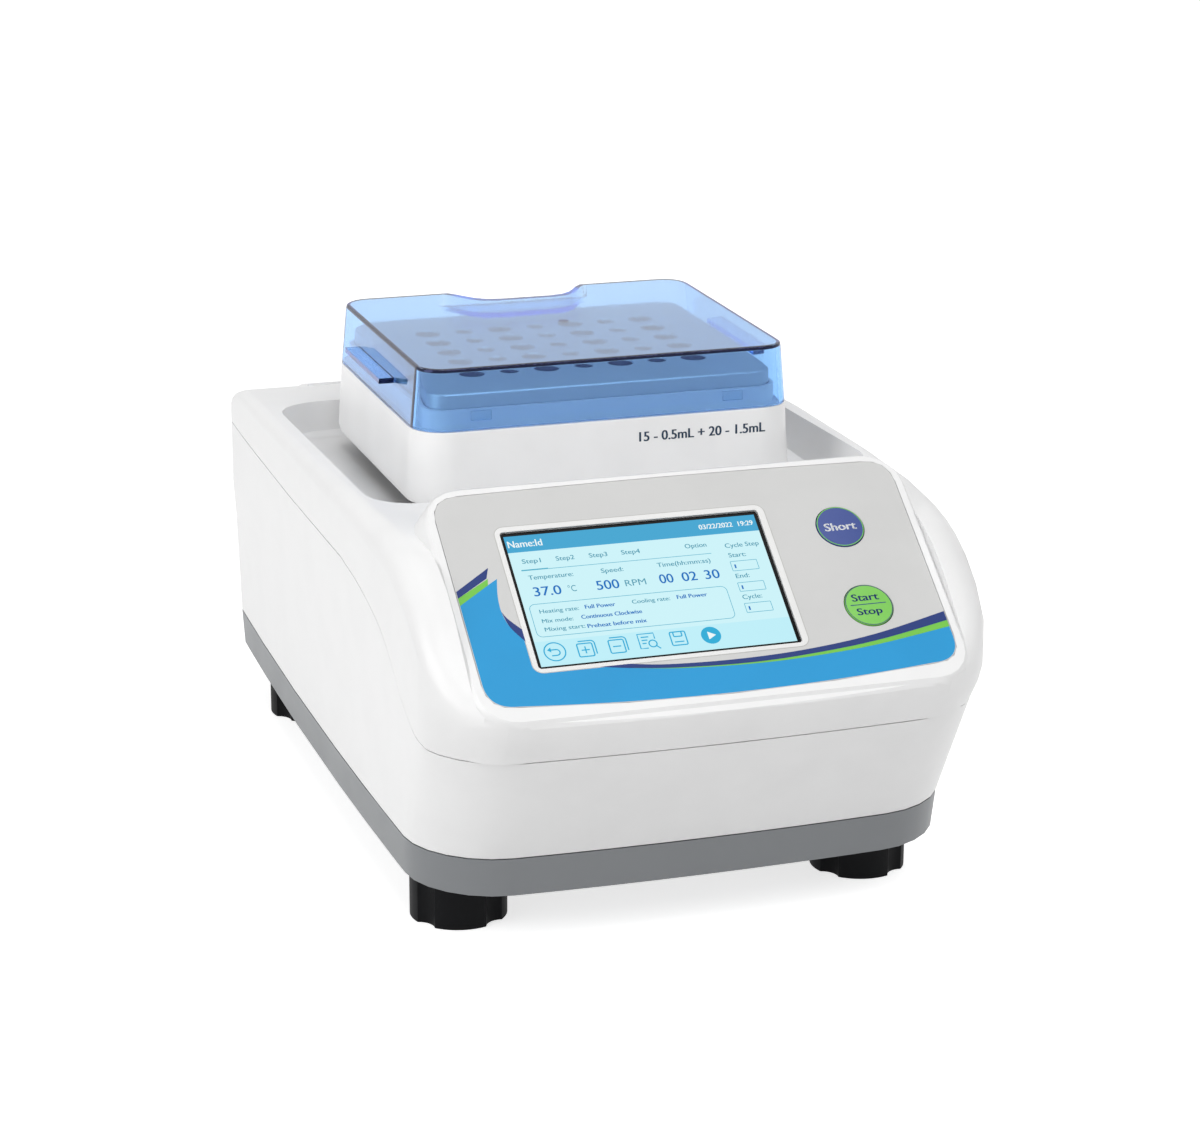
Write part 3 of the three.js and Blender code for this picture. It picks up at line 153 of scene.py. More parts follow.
def seen_directly(tree):
    """1 for rays from the camera, reflections and glass, and 0 for light that bounces about."""
    path = add_node(tree, "ShaderNodeLightPath").outputs
    seen = path["Is Camera Ray"]
    for ray in ("Is Glossy Ray", "Is Transmission Ray"):
        seen = add_node(tree, "ShaderNodeMath", {0: seen, 1: path[ray]}, operation="MAXIMUM").outputs[0]
    return seen


world = bpy.data.worlds.new("studio")
scene.world = world
world.use_nodes = True
tree = world.node_tree
sky = tree.nodes["Background"].inputs
strength = add_node(tree, "ShaderNodeMapRange", {
    "Value": seen_directly(tree), "To Min": SKY_STRENGTH, "To Max": 1.0})
sky["Color"].default_value = WHITE
tree.links.new(strength.outputs[0], sky["Strength"])

for name, lamp in LAMPS.items():
    light = bpy.data.objects.new(name, bpy.data.lights.new(name, "AREA"))
    light.data.energy = lamp["watts"]
    light.data.size = lamp["size"]
    light.location = lamp["at"]
    light.rotation_euler = (-Vector(lamp["at"])).to_track_quat("-Z", "Y").to_euler()
    scene.collection.objects.link(light)
print("lamps:", list(LAMPS))

# %% [markdown]
# The floor is a large matt sheet. A floor that only catches shadows would have to be laid over white
# afterwards. This one glows a little, for the same rays that see the white world, so that it nearly
# disappears by itself and still takes the shadow.

# %% Lay the floor
FLOOR_SIZE = 12
FLOOR_GLOW = 0.72
FLOOR_LOOK = {"Base Color": linear("E6E6E6"), "Roughness": 0.9, "Specular IOR Level": 0,
              "Emission Color": WHITE}

bpy.ops.mesh.primitive_plane_add(size=FLOOR_SIZE)
floor = bpy.context.object
floor.name = "floor"
material, tree, shader = new_material("pale_floor")
for socket, value in FLOOR_LOOK.items():
    shader.inputs[socket].default_value = value
glow = add_node(tree, "ShaderNodeMapRange", {"Value": seen_directly(tree), "To Max": FLOOR_GLOW})
tree.links.new(glow.outputs[0], shader.inputs["Emission Strength"])
floor.data.materials.append(material)
print("floor:", FLOOR_SIZE, "metres wide")

# %% [markdown]
# ## Finishes
# Most of the shaker is injection-moulded plastic. A mould gives it a fine even grain and slow changes of
# gloss where the melt cooled faster. A picture of grain would need every piece unwrapped, and its edges
# would meet in seams. Noise needs neither, and it can be set to real sizes: a grain of parts of a
# millimetre drives the bump, and clouds of a few centimetres drive gloss and a trace of shade. The table
# gives each kind of surface the size of its grain, the height of its grain and the size of its clouds.

# %% Write the function for solid finishes
GRAINS = {
    "moulded": (0.45, 0.012, 30), "moulded tray": (0.45, 0.015, 30), "moulded rubber": (0.7, 0.03, 30),
    "moulded nylon": (0.5, 0.02, 30), "moulded key": (0.4, 0.008, 30), "film": (0.25, 0.006, 30),
    "pressed film": (0.25, 0.004, 30), "ink": (0.25, 0.005, 30), "foam": (0.8, 0.2, 30),
    "ceramic": (0.15, 0.01, 30), "lacquer": (1.2, 0.02, 8), "blasted": (0.3, 0.012, 30),
    "zinc": (0.6, 0.01, 12), "nickel": (0.8, 0.004, 10), "clear": (6, 0.01, 30), "glass": (20, 0.002, 30)}
CLOUD_DETAIL, GRAIN_DETAIL = 3, 2
SHADE_EDGES = (0.35, 0.6)
GLOSS_EDGES = (0.3, 0.7)
GLOSS_SPREAD = 0.08


def surface(name, colour, roughness, kind, shade=0.97, **sockets):
    """A material with the grain and clouds of its kind. shade is how dark the clouds get."""
    material, tree, shader = new_material(name)
    grain, height, cloud = GRAINS[kind]
    place = add_node(tree, "ShaderNodeTexCoord").outputs["Object"]
    clouds = add_node(tree, "ShaderNodeTexNoise", {
        "Vector": place, "Scale": 1 / (cloud * MM), "Detail": CLOUD_DETAIL}).outputs["Fac"]
    relief = add_node(tree, "ShaderNodeTexNoise", {
        "Vector": place, "Scale": 1 / (grain * MM), "Detail": GRAIN_DETAIL}).outputs["Fac"]
    tint = add_node(tree, "ShaderNodeValToRGB", {"Fac": clouds})
    for element, level, position in zip(tint.color_ramp.elements, (shade, 1), SHADE_EDGES):
        element.position = position
        element.color = tuple(channel * level for channel in linear(colour)[:3]) + (1,)
    gloss = add_node(tree, "ShaderNodeMapRange", {
        "Value": clouds, "From Min": GLOSS_EDGES[0], "From Max": GLOSS_EDGES[1],
        "To Min": roughness * (1 - GLOSS_SPREAD), "To Max": roughness * (1 + GLOSS_SPREAD)})
    bump = add_node(tree, "ShaderNodeBump", {"Height": relief, "Distance": height * MM})
    tree.links.new(tint.outputs["Color"], shader.inputs["Base Color"])
    tree.links.new(gloss.outputs[0], shader.inputs["Roughness"])
    tree.links.new(bump.outputs["Normal"], shader.inputs["Normal"])
    for socket, value in sockets.items():
        shader.inputs[socket.replace("_", " ")].default_value = value
    return material


print("kinds of surface:", len(GRAINS))

# %% [markdown]
# The casing is ABS: satin, with an IOR of about 1.54. The feet are nitrile rubber, nearly matt, and the
# fittings at the rear are black nylon. The keys are polycarbonate, coloured right through. Gloss starts
# from what such plastics have, and the colours were changed until the render looked like the object.

# %% Make the moulded finishes
ABS_IOR = 1.54
white_abs = surface("moulded white ABS", "ECECEC", 0.36, "moulded", IOR=ABS_IOR)
# The head's copy of the white ABS is lighter, as painted light: it makes the head's housing look more
# brightly lit than the casing.
head_abs_painted_light = surface("moulded white ABS lightened as painted light for the head", "F6F6F6", 0.36, "moulded", IOR=ABS_IOR)
grey_abs = surface("moulded grey ABS", "76797C", 0.44, "moulded tray", IOR=ABS_IOR)
rubber = surface("moulded nitrile rubber", "08090C", 0.6, "moulded rubber", shade=0.8,
                 Specular_IOR_Level=0.12)
nylon = surface("moulded black nylon", "1D1E21", 0.5, "moulded nylon", shade=0.85)
blue_key = surface("moulded blue polycarbonate key", "30468C", 0.34, "moulded key")
green_key = surface("moulded green polycarbonate key", "78C650", 0.34, "moulded key")
print("casing:", white_abs.name, "and", grey_abs.name)

# %% [markdown]
# The film on the console is printed polyester, about as smooth as the casing. The inks are thin and
# silky: those of the film are screen printed, and the dark blue and white ones are pad printed. One
# picture of the whole print would blur close up. Each ink is a finish of its own instead, for a thin
# plate of its own, so that its edges stay sharp.

# %% Make the film and the inks
def ink(name, colour, roughness=0.38, shine=0.25):
    return surface(name, colour, roughness, "ink", Specular_IOR_Level=shine)


film = surface("matt polyester film", "CBCBCA", 0.42, "film")
trim_film = surface("clear-coated film edge", "E6E6E5", 0.3, "pressed film")
# The pressed line's darker colour is painted shade of the embossed step.
emboss_shade = surface("painted shade of the pressed line in the film", "B9B9B6", 0.5, "pressed film")
blue_ink = ink("sky blue screen ink", "2496D0")
navy_ink = ink("navy screen ink", "1E3576")
green_ink = ink("leaf green screen ink", "74C24A")
dark_ink = ink("dark blue pad-printing ink", "2B4560", 0.45, 0.5)
white_ink = ink("white pad-printing ink", "F4F6F8", 0.45, 0.5)
print("film:", film.name, "first ink:", blue_ink.name)

# %% [markdown]
# Metal keeps the default IOR. The block is bead-blasted and anodised aluminium, whose grain is about a
# third of a millimetre. Blasting leaves no direction, so plain noise serves, and a brushed metal would
# need it stretched. The shafts and plates are zinc-plated steel, brighter and smoother. The foam shows
# as the dark step under the block. The ceramic of the modules and the circuit boards are inside.

# %% Make the metals and the inner finishes
anodised = surface("bead-blasted anodised aluminium", "B4BAC0", 0.42, "blasted", shade=0.93, Metallic=1)
zinc = surface("zinc-plated steel", "C4C6C8", 0.3, "zinc", shade=0.85, Metallic=1)
nickel = surface("nickel-plated steel", "D2D0CB", 0.18, "nickel", Metallic=1)
foam = surface("closed-cell foam", "303236", 0.9, "foam", shade=0.7)
alumina = surface("pressed alumina", "EDEDE8", 0.55, "ceramic")
solder_mask = surface("green solder mask", "1E6B3A", 0.3, "lacquer", shade=0.8)
print("block:", anodised.name)

# %% [markdown]
# The lid is clear blue polycarbonate, IOR 1.585. Its walls look pale face on and navy along their edges,
# because light goes a long way through the plastic there. A tinted surface can't do that, so the colour
# comes from absorption inside the wall, which takes much of the red and hardly any blue.

# %% Make the clear blue polycarbonate
LID_IOR = 1.585
LID_ABSORPTION = 290
LID_TINT = (0.08, 0.56, 0.95, 1)
LID_SHINE = (0.4, 0.45, 1, 1)
clear_blue = surface("clear blue polycarbonate", "FFFFFF", 0.035, "clear", shade=1, IOR=LID_IOR,
                     Transmission_Weight=1, Specular_Tint=LID_SHINE)
tree = clear_blue.node_tree
absorption = add_node(tree, "ShaderNodeVolumeAbsorption", {"Color": LID_TINT, "Density": LID_ABSORPTION})
tree.links.new(absorption.outputs[0], tree.nodes["Material Output"].inputs["Volume"])
print("lid:", clear_blue.name)

# %% [markdown]
# The display is lit from behind. A strong lamp behind a coloured sheet would do that too, but its light
# would be hard to set for each colour. So each area of the picture is a thin plate that glows at its own
# colour, under a faint gloss from the cover glass. The rim of the glass is printed black.

# %% Make the display's finishes
GLASS_SHINE = 0.12
GLOW_STRENGTH = 0.92
GLOWS = {"header blue": "3FA9D6", "pale cyan": "D2F9FF", "cyan": "C4F5FF", "white": "F4FFFF",
         "grey teal": "4A9CB4", "blue": "1072C4", "line teal": "4FB2CE", "teal": "24B0DC"}


def glowing(name, colour):
    """A glowing area of the display with the gloss of its glass."""
    return surface(name, "101418", 0.12, "glass", Specular_IOR_Level=GLASS_SHINE,
                   Emission_Strength=GLOW_STRENGTH, Emission_Color=linear(colour))


black_glass = surface("black-printed glass", "020203", 0.08, "glass", Specular_IOR_Level=GLASS_SHINE)
lit = {name: glowing("lit " + name, colour) for name, colour in GLOWS.items()}
print("materials:", len(bpy.data.materials))

# %% [markdown]
# ## Finishes for the CAD nodes
# Each CAD node takes a finish by the slot that the record gives it, which says what it is made of. That
# is shorter than a finish for each node by name, and no node is forgotten. The solid isn't touched.

# %% Dress every CAD node
SLOT_FINISHES = {
    "white_abs": white_abs, "grey_abs": grey_abs, "foot_rubber": rubber, "overlay_film": film,
    "display_glass": black_glass, "blue_key": blue_key, "green_key": green_key, "black_nylon": nylon,
    "plated_steel": zinc, "anodised_aluminium": anodised, "circuit_board": solder_mask, "alumina": alumina,
    "insulation_foam": foam, "blue_polycarbonate": clear_blue}
slots = {part["node"]: part["material_slot"] for part in frame["record"]["subparts"]}
for name, node in nodes.items():
    for material_slot in node.material_slots:
        material_slot.material = SLOT_FINISHES[slots[name]]
print("slots in use:", len(set(slots.values())))

# %% [markdown]
# ## Working on a mesh
# A mesh could be written down point by point. The tools of edit mode are easier to follow, because each
# step can be tried by hand. They act on what is selected, so three helpers do what a hand does first: make
# a piece the only one selected, pick faces or edges by a rule, and leave edit mode. Two more apply a
# modifier and smooth the faces between sharp edges.

# %% Write the helpers for editing
SMOOTH_ANGLE = 35


def take(piece):
    bpy.ops.object.select_all(action="DESELECT")
    piece.select_set(True)
    bpy.context.view_layer.objects.active = piece


def pick(piece, kind, wanted):
    """Go to edit mode with the faces or edges selected for which wanted(element) is true."""
    take(piece)
    bpy.ops.object.mode_set(mode="EDIT")
    bpy.ops.mesh.select_mode(type=kind)
    bpy.ops.mesh.select_all(action="DESELECT")
    bpy.ops.object.mode_set(mode="OBJECT")
    for element in {"FACE": piece.data.polygons, "EDGE": piece.data.edges}[kind]:
        element.select = wanted(element)
    bpy.ops.object.mode_set(mode="EDIT")


def leave():
    bpy.ops.object.mode_set(mode="OBJECT")


def apply_modifier(piece, kind, **settings):
    take(piece)
    modifier = piece.modifiers.new(kind.lower(), kind)
    for name, value in settings.items():
        setattr(modifier, name, value)
    bpy.ops.object.modifier_apply(modifier=modifier.name)


def smooth(piece, degrees=SMOOTH_ANGLE):
    take(piece)
    bpy.ops.object.shade_smooth_by_angle(angle=math.radians(degrees))


print("edges sharper than", SMOOTH_ANGLE, "degrees stay sharp")

# %% [markdown]
# Pieces are also copied, cut, moved, joined and filed. A copy has its own mesh. A piece that was just
# moved is placed again only after an update, because until then Blender still has its old place. Filing
# puts a piece's place into its mesh, so that the piece can ride on a moving body from the origin, and
# gives it a finish and a body.

# %% Write the helpers for whole pieces
def own_copy(piece, name):
    copy = bpy.data.objects.new(name, piece.data.copy())
    scene.collection.objects.link(copy)
    return copy


def cut(piece, cutter):
    """Take a cutter off a piece, and throw the cutter away."""
    apply_modifier(piece, "BOOLEAN", operation="DIFFERENCE", object=cutter, solver="EXACT")
    bpy.data.objects.remove(cutter)


def put(piece, matrix):
    """Move a piece by a matrix, on top of where it is."""
    bpy.context.view_layer.update()
    piece.matrix_world = matrix @ piece.matrix_world


def joined(pieces):
    """Make several pieces one."""
    take(pieces[0])
    for piece in pieces:
        piece.select_set(True)
    if len(pieces) > 1:
        bpy.ops.object.join()
    return pieces[0]


def settle(piece, name, finish, body, replaced=()):
    """File a finished piece under its name, finish and body."""
    take(piece)
    bpy.ops.object.transform_apply(location=True, rotation=True, scale=True)
    piece.name = name
    piece.data.name = name
    piece.data.materials.clear()
    piece.data.materials.append(finish)
    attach(piece, body)
    if replaced:
        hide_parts(*replaced)
    return piece


# %% [markdown]
# ## Moulded shells
# A moulded edge is never quite sharp: the tool leaves it a radius of some tenths of a millimetre, which
# shows as a thin bright line. A material can only fake that, with a sharp outline left over, so the mesh
# gets real rounds. Each shell starts as a copy of its CAD solid. Its loose triangles are merged, flat
# regions become single faces, and a bevel rounds the edges that are sharper than a limit.

# %% Round the edges of the shells
MERGE_DISTANCE = 0.02
FLAT_LIMIT = 0.6
EDGE_SHARPER_THAN = 40
EDGE_SEGMENTS = 2
SHELL_SMOOTH_ANGLE = 38
NORMAL_WEIGHT = 50
SHELLS = {"top_cover": (white_abs, 0.35), "lower_casing": (white_abs, 0.3), "base_pan": (grey_abs, 0.4),
          "head_housing": (head_abs_painted_light, 0.4), "lid": (clear_blue, 0.3), "rear_panel": (grey_abs, 0.3),
          "mains_inlet": (nylon, 0.3), "fuse_drawer": (nylon, 0.3), "rocker_frame": (nylon, 0.3),
          "power_rocker": (nylon, 0.4), "usb_port": (nickel, 0.2), "fan_frame": (nylon, 0.3)}


def rounded_copy(node, finish, edge):
    """A copy of a CAD solid with merged faces and rounded edges, which stands in for it."""
    piece = own_copy(nodes[node], node)
    pick(piece, "FACE", lambda face: True)
    bpy.ops.mesh.remove_doubles(threshold=MERGE_DISTANCE * MM)
    bpy.ops.mesh.dissolve_limited(angle_limit=math.radians(FLAT_LIMIT))
    leave()
    apply_modifier(piece, "BEVEL", width=edge * MM, segments=EDGE_SEGMENTS, limit_method="ANGLE",
                   angle_limit=math.radians(EDGE_SHARPER_THAN), use_clamp_overlap=True)
    smooth(piece, SHELL_SMOOTH_ANGLE)
    apply_modifier(piece, "WEIGHTED_NORMAL", keep_sharp=True, weight=NORMAL_WEIGHT)
    return settle(piece, node + "_moulded", finish, nodes[node]["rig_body"], [node])


for node, (finish, edge) in SHELLS.items():
    shell = rounded_copy(node, finish, edge)
    print(shell.name, len(shell.data.polygons), "faces")

# %% [markdown]
# ## Flat and turned forms
# Prints, films and plates are flat, and what shows of them is their outline. Boxes and cylinders could be
# cut to it, but it is simpler to draw the outline itself. It is a list of points, joined from arcs,
# bends and flowing lines, so that a round takes one call and not a row of numbers.

# %% Write the tools for outlines
ROUND_STEPS = 12
SMALL_STEPS = 6


def arc(x, y, radius, start, end, steps=ROUND_STEPS):
    """Points on a circle between two angles in degrees."""
    turns = [math.radians(start + (end - start) * step / steps) for step in range(steps + 1)]
    return [(x + radius * math.cos(turn), y + radius * math.sin(turn)) for turn in turns]


def disc(x, y, diameter):
    return arc(x, y, diameter / 2, 0, 360, 4 * ROUND_STEPS)[:-1]


def box_of(left, right, low, high):
    return [(left, low), (right, low), (right, high), (left, high)]


def rounded(left, right, low, high, radius):
    """A rectangle with round corners."""
    points = []
    for x, y, turn in ((right, high, 0), (left, high, 90), (left, low, 180), (right, low, 270)):
        inner_x = min(max(x, left + radius), right - radius)
        inner_y = min(max(y, low + radius), high - radius)
        points += arc(inner_x, inner_y, radius, turn, turn + 90, SMALL_STEPS)
    return points


def outlined(left, right, low, high, radius, width):
    """A thin rounded frame, as its outer and inner outlines."""
    return [rounded(left, right, low, high, radius),
            rounded(left + width, right - width, low + width, high - width, radius - width)]


print("a disc has", len(disc(0, 0, 1)), "points")

# %% [markdown]
# The printed waves aren't arcs of a circle. Many short steps could follow them, but a few points and a
# rule are easier to change. A bend has one point that pulls it. A flowing line goes through all its
# points, and passes each one in the direction of its neighbours. A stroke gives a line a width.

# %% Write the tools for curved lines
def bend(start, pull, end, steps=ROUND_STEPS):
    """Points on a curve that leaves start towards pull and reaches end from there."""
    shares = [step / steps for step in range(steps + 1)]
    return [tuple(a * (1 - t) ** 2 + 2 * b * t * (1 - t) + c * t * t for a, b, c in zip(start, pull, end))
            for t in shares]


def flowing(points):
    """A smooth line through points."""
    ends = [points[0]] + points + [points[-1]]
    line = []
    for before, start, end, after in zip(ends, ends[1:], ends[2:], ends[3:]):
        for t in (step / SMALL_STEPS for step in range(SMALL_STEPS)):
            line.append(tuple(
                b + t * ((c - a) + t * ((2 * a - 5 * b + 4 * c - d) + t * (3 * b - a - 3 * c + d))) / 2
                for a, b, c, d in zip(before, start, end, after)))
    return line + [points[-1]]


def stroke(points, width):
    """The outline of a line of even width."""
    sides = []
    for i in range(len(points)):
        before, after = points[max(i - 1, 0)], points[min(i + 1, len(points) - 1)]
        way = Vector((after[0] - before[0], after[1] - before[1])).normalized()
        sides.append((-way.y * width / 2, way.x * width / 2))
    left = [(x + dx, y + dy) for (x, y), (dx, dy) in zip(points, sides)]
    return left + [(x - dx, y - dy) for (x, y), (dx, dy) in zip(points, sides)][::-1]


print("a bend has", len(bend((0, 0), (1, 0), (1, 1))), "points")

# %% [markdown]
# A plate could be a face pulled up by extrusion, but a face with holes has to be bridged first. Blender
# fills a flat curve between two heights, and leaves a hole where one outline lies inside another. Round
# parts start as half a profile, which turns about an upright axis as on a lathe. Both end as closed
# meshes with their loose points merged and their faces turned outward.

# %% Write the tools that turn outlines into pieces
MERGE_FINE = 0.002


def to_mesh(item):
    scene.collection.objects.link(item)
    take(item)
    bpy.ops.object.convert(target="MESH")
    return bpy.context.object


def seal(piece):
    """Merge loose points and turn every face outward."""
    pick(piece, "FACE", lambda face: True)
    bpy.ops.mesh.remove_doubles(threshold=MERGE_FINE * MM)
    bpy.ops.mesh.normals_make_consistent(inside=False)
    leave()
    return piece


def add_line(curve, points):
    """Add a straight-sided line to a curve, through points in millimetres."""
    spline = curve.splines.new("POLY")
    spline.points.add(len(points) - 1)
    for point, (x, y, z) in zip(spline.points, points):
        point.co = (x * MM, y * MM, z * MM, 1)
    return spline


def flat(outlines, low, high):
    """A plate between two heights, from closed outlines."""
    curve = bpy.data.curves.new("flat", "CURVE")
    curve.dimensions = "2D"
    curve.fill_mode = "BOTH"
    curve.extrude = (high - low) / 2 * MM
    for outline in outlines:
        add_line(curve, [(x, y, 0) for x, y in outline]).use_cyclic_u = True
    piece = seal(to_mesh(bpy.data.objects.new("flat", curve)))
    piece.location.z = (low + high) / 2 * MM
    return piece


def turned(profile, steps=4 * ROUND_STEPS):
    """A solid turned about Z from points (radius, height), from the bottom up."""
    curve = bpy.data.curves.new("profile", "CURVE")
    curve.dimensions = "3D"
    add_line(curve, [(radius, 0, height) for radius, height in profile])
    piece = to_mesh(bpy.data.objects.new("turned", curve))
    apply_modifier(piece, "SCREW", steps=steps, render_steps=steps, use_merge_vertices=True,
                   merge_threshold=MERGE_FINE * MM, use_smooth_shade=False)
    return seal(piece)


print("points closer than", MERGE_FINE, "millimetres merge")

# %% [markdown]
# ## Lettering
# Words and numbers are set in Blender's own font, because the script reads no other file. Each is fitted
# between two measured ends and to a measured height of capitals. The font has one weight. Widening its
# outline spoils small letters, so a heavier face comes from printing it again a little to each side.

# %% Write the lettering tool
CAPITAL_SHARE = 0.729
LETTER_STEPS = 4


def letters(text, left, right, base, capitals, low, high, weight=0):
    """Lettering from left to right on a base line, between two heights."""
    curve = bpy.data.curves.new("letters", "FONT")
    curve.body = text
    curve.size = capitals / CAPITAL_SHARE * MM
    curve.extrude = (high - low) / 2 * MM
    curve.resolution_u = LETTER_STEPS
    piece = seal(to_mesh(bpy.data.objects.new("letters", curve)))
    reach = [corner.co.x for corner in piece.data.vertices]
    stretch = (right - left) * MM / (max(reach) - min(reach))
    piece.scale.x = stretch
    piece.location = (left * MM - min(reach) * stretch, base * MM, (low + high) / 2 * MM)
    copies = [piece]
    for shift in (-weight, weight) if weight else ():
        copy = own_copy(piece, piece.name)
        copy.scale.x = stretch
        copy.location = piece.location + Vector((shift * MM, 0, 0))
        copies.append(copy)
    return joined(copies)


print("capitals fill", CAPITAL_SHARE, "of the font size")

# %% [markdown]
# ## Console film
# The console carries one printed polyester film. Its sheet follows the outline of the CAD solid, with a
# window for the screen and a bore for each key, and is made anew so that its corners show smooth. All
# that lies on the slope could be modelled there, but every size would be aslant. So the panel is drawn
# flat, x across and y up its slope, and one matrix puts each finished piece in place.

# %% Cut the film
PANEL_SLOPE = 36.3
PANEL_FOOT = (0, -192, 119)
PANEL = Matrix.Translation(Vector(PANEL_FOOT) * MM) @ Matrix.Rotation(math.radians(PANEL_SLOPE), 4, "X")
FILM_HALF, FILM_LOW, FILM_HIGH = 99.7, -1.5, 102.4
FILM_CORNER = 12
FILM_BULGE = 4
FILM_THICKNESS = 0.7
WINDOW_X, WINDOW_UP = -19.9, 48.8
WINDOW_HALF, WINDOW_HALF_UP = 55.4, 33.8
WINDOW_CORNER = 1.5
KEY_X = 68.5
KEYS_UP = {"short": 69.9, "start_stop": 29.5}
KEY_DIAMETER = 20.2
KEY_GAP = 0.4


def on_panel(piece, name, finish, body="casing", replaced=()):
    put(piece, PANEL)
    return settle(piece, name, finish, body, replaced)


def film_foot(inset=0):
    """The film's edge from its right side round the lower corners to its left side."""
    half, low, corner = FILM_HALF - inset, FILM_LOW + inset, FILM_CORNER
    return (bend((half, low + corner), (half, low), (half - corner, low))
            + bend((half - corner, low), (0, low - 2 * FILM_BULGE), (corner - half, low))
            + bend((corner - half, low), (-half, low), (-half, low + corner)))


def film_head():
    """The film's edge from its left side round the upper corners to its right side."""
    half, high, corner = FILM_HALF, FILM_HIGH, FILM_CORNER
    return (bend((-half, high - corner), (-half, high), (corner - half, high))
            + bend((corner - half, high), (0, high + FILM_BULGE / 2), (half - corner, high))
            + bend((half - corner, high), (half, high), (half, high - corner)))


window = rounded(WINDOW_X - WINDOW_HALF, WINDOW_X + WINDOW_HALF, WINDOW_UP - WINDOW_HALF_UP,
                 WINDOW_UP + WINDOW_HALF_UP, WINDOW_CORNER)
bores = [disc(KEY_X, key_up, KEY_DIAMETER + 2 * KEY_GAP) for key_up in KEYS_UP.values()]
sheet = flat([film_foot() + film_head(), window, *bores], -FILM_THICKNESS, 0)
on_panel(sheet, "console_film", film, replaced=["panel_overlay"])
print("film:", 2 * FILM_HALF, "millimetres wide")

# %% [markdown]
# The film is screen printed. Masks in one material could colour it, but plates are simpler to shape, and
# they may overlap as real inks do, which leaves no gap between two colours. Sky blue goes on first, then
# green and navy over it, each a few hundredths of a millimetre thick. The lines flow through a few points
# measured on the panel. To the left of the window the blue sweeps up to a tip, with a green and a navy
# tip above it and a navy crescent beside it.

# %% Print the film
INK = 0.03
PRINT_INSET = 0.25
LEFT_EDGE = PRINT_INSET - FILM_HALF
RIGHT_EDGE = FILM_HALF - PRINT_INSET
FRAME_LEFT, FRAME_FOOT, FRAME_CORNER = -77.4, 13.2, 4.0
WAVE_TOP = [(-38.3, FRAME_FOOT), (-22.6, 11.1), (6.2, 10.2), (35.9, 11.4), (67.0, 15.4), (RIGHT_EDGE, 23.0)]
WAVE_MIDDLE = [(-50.7, FRAME_FOOT), (-37.0, 11.0), (-18.4, 9.0), (10.0, 7.9), (35.1, 8.9), (65.9, 12.1),
               (RIGHT_EDGE, 18.5)]
WAVE_FOOT = [(-38.0, 11.1), (-18.5, 8.7), (10.0, 7.3), (34.8, 7.7), (65.3, 10.1), (RIGHT_EDGE, 15.4)]
SWEEP = [(-81.6, 60.0), (-83.3, 51.3), (-83.6, 43.6), (-81.9, 36.2), (FRAME_LEFT, 28.6)]
CRESCENT_TIP = (-83.6, 43.9)
CRESCENT_INSIDE = [(FRAME_LEFT, 34.5), (-81.9, 40.2), CRESCENT_TIP]
BLUE_EDGE, GREEN_EDGE, NAVY_EDGE = (LEFT_EDGE, 48.6), (LEFT_EDGE, 52.2), (LEFT_EDGE, 55.5)
BLUE_TIP = [BLUE_EDGE, (-85.9, 57.4)]
GREEN_TIP = [GREEN_EDGE, (-85.3, 60.4), (-85.9, 57.3), BLUE_EDGE]
NAVY_TIP = [(-83.9, 65.7), NAVY_EDGE, GREEN_EDGE, (-85.8, 60.6)]
under_frame = arc(FRAME_LEFT + FRAME_CORNER, FRAME_FOOT + FRAME_CORNER, FRAME_CORNER, 180, 270,
                  SMALL_STEPS)
crescent = flowing([CRESCENT_TIP, *SWEEP[-2:]]) + flowing(CRESCENT_INSIDE)
sky_blue = BLUE_TIP + flowing(SWEEP) + under_frame + flowing(WAVE_TOP) + film_foot(PRINT_INSET)
prints = {
    "blue": (blue_ink, [sky_blue]),
    "green": (green_ink, [flowing(WAVE_TOP) + flowing(WAVE_FOOT)[::-1], GREEN_TIP]),
    "navy": (navy_ink, [flowing(WAVE_TOP) + flowing(WAVE_MIDDLE)[::-1], crescent, NAVY_TIP])}
for coat, (name, (finish, outlines)) in enumerate(prints.items()):
    on_panel(flat(outlines, coat * INK, (coat + 1) * INK), name + "_print", finish)
print("prints:", list(prints))

# %% [markdown]
# A paler strip frames the window. It is embossed, with a thin line pressed along its outer edge. A bump
# in the film's material would shade it, but a strip with a small real bevel also catches the light. The line
# is a darker plate: painted shade where the embossed edge steps down.

# %% Frame the window
FRAME_RIGHT, FRAME_HEAD = 38.2, 85.0
FRAME_RISE = 0.12
FRAME_LINE = 0.35


def frame_outline(grow):
    return rounded(FRAME_LEFT - grow, FRAME_RIGHT + grow, FRAME_FOOT - grow, FRAME_HEAD + grow,
                   FRAME_CORNER + grow)


strip = flat([frame_outline(0), window], 0, FRAME_RISE)
apply_modifier(strip, "BEVEL", width=FRAME_RISE / 2 * MM, segments=EDGE_SEGMENTS, limit_method="ANGLE")
on_panel(strip, "window_frame", trim_film)
# The pressed line is a darker plate along the strip's outer edge: painted shade of the embossed step.
line = flat([frame_outline(FRAME_LINE), frame_outline(0)], 0, FRAME_RISE / 2)
on_panel(line, "window_frame_line_painted_shade", emboss_shade)
print("frame:", FRAME_RIGHT - FRAME_LEFT, "by", FRAME_HEAD - FRAME_FOOT, "millimetres")

# %% [markdown]
# ## Display
# The picture on the display nearly fills a panel of 108 by 64.8 millimetres. It is built in layers, like
# a print, because two faces at one height show through each other in patches. Its places are counted
# from its lower left corner. Bars come first, then lines, boxes, lettering and icons, just above them.

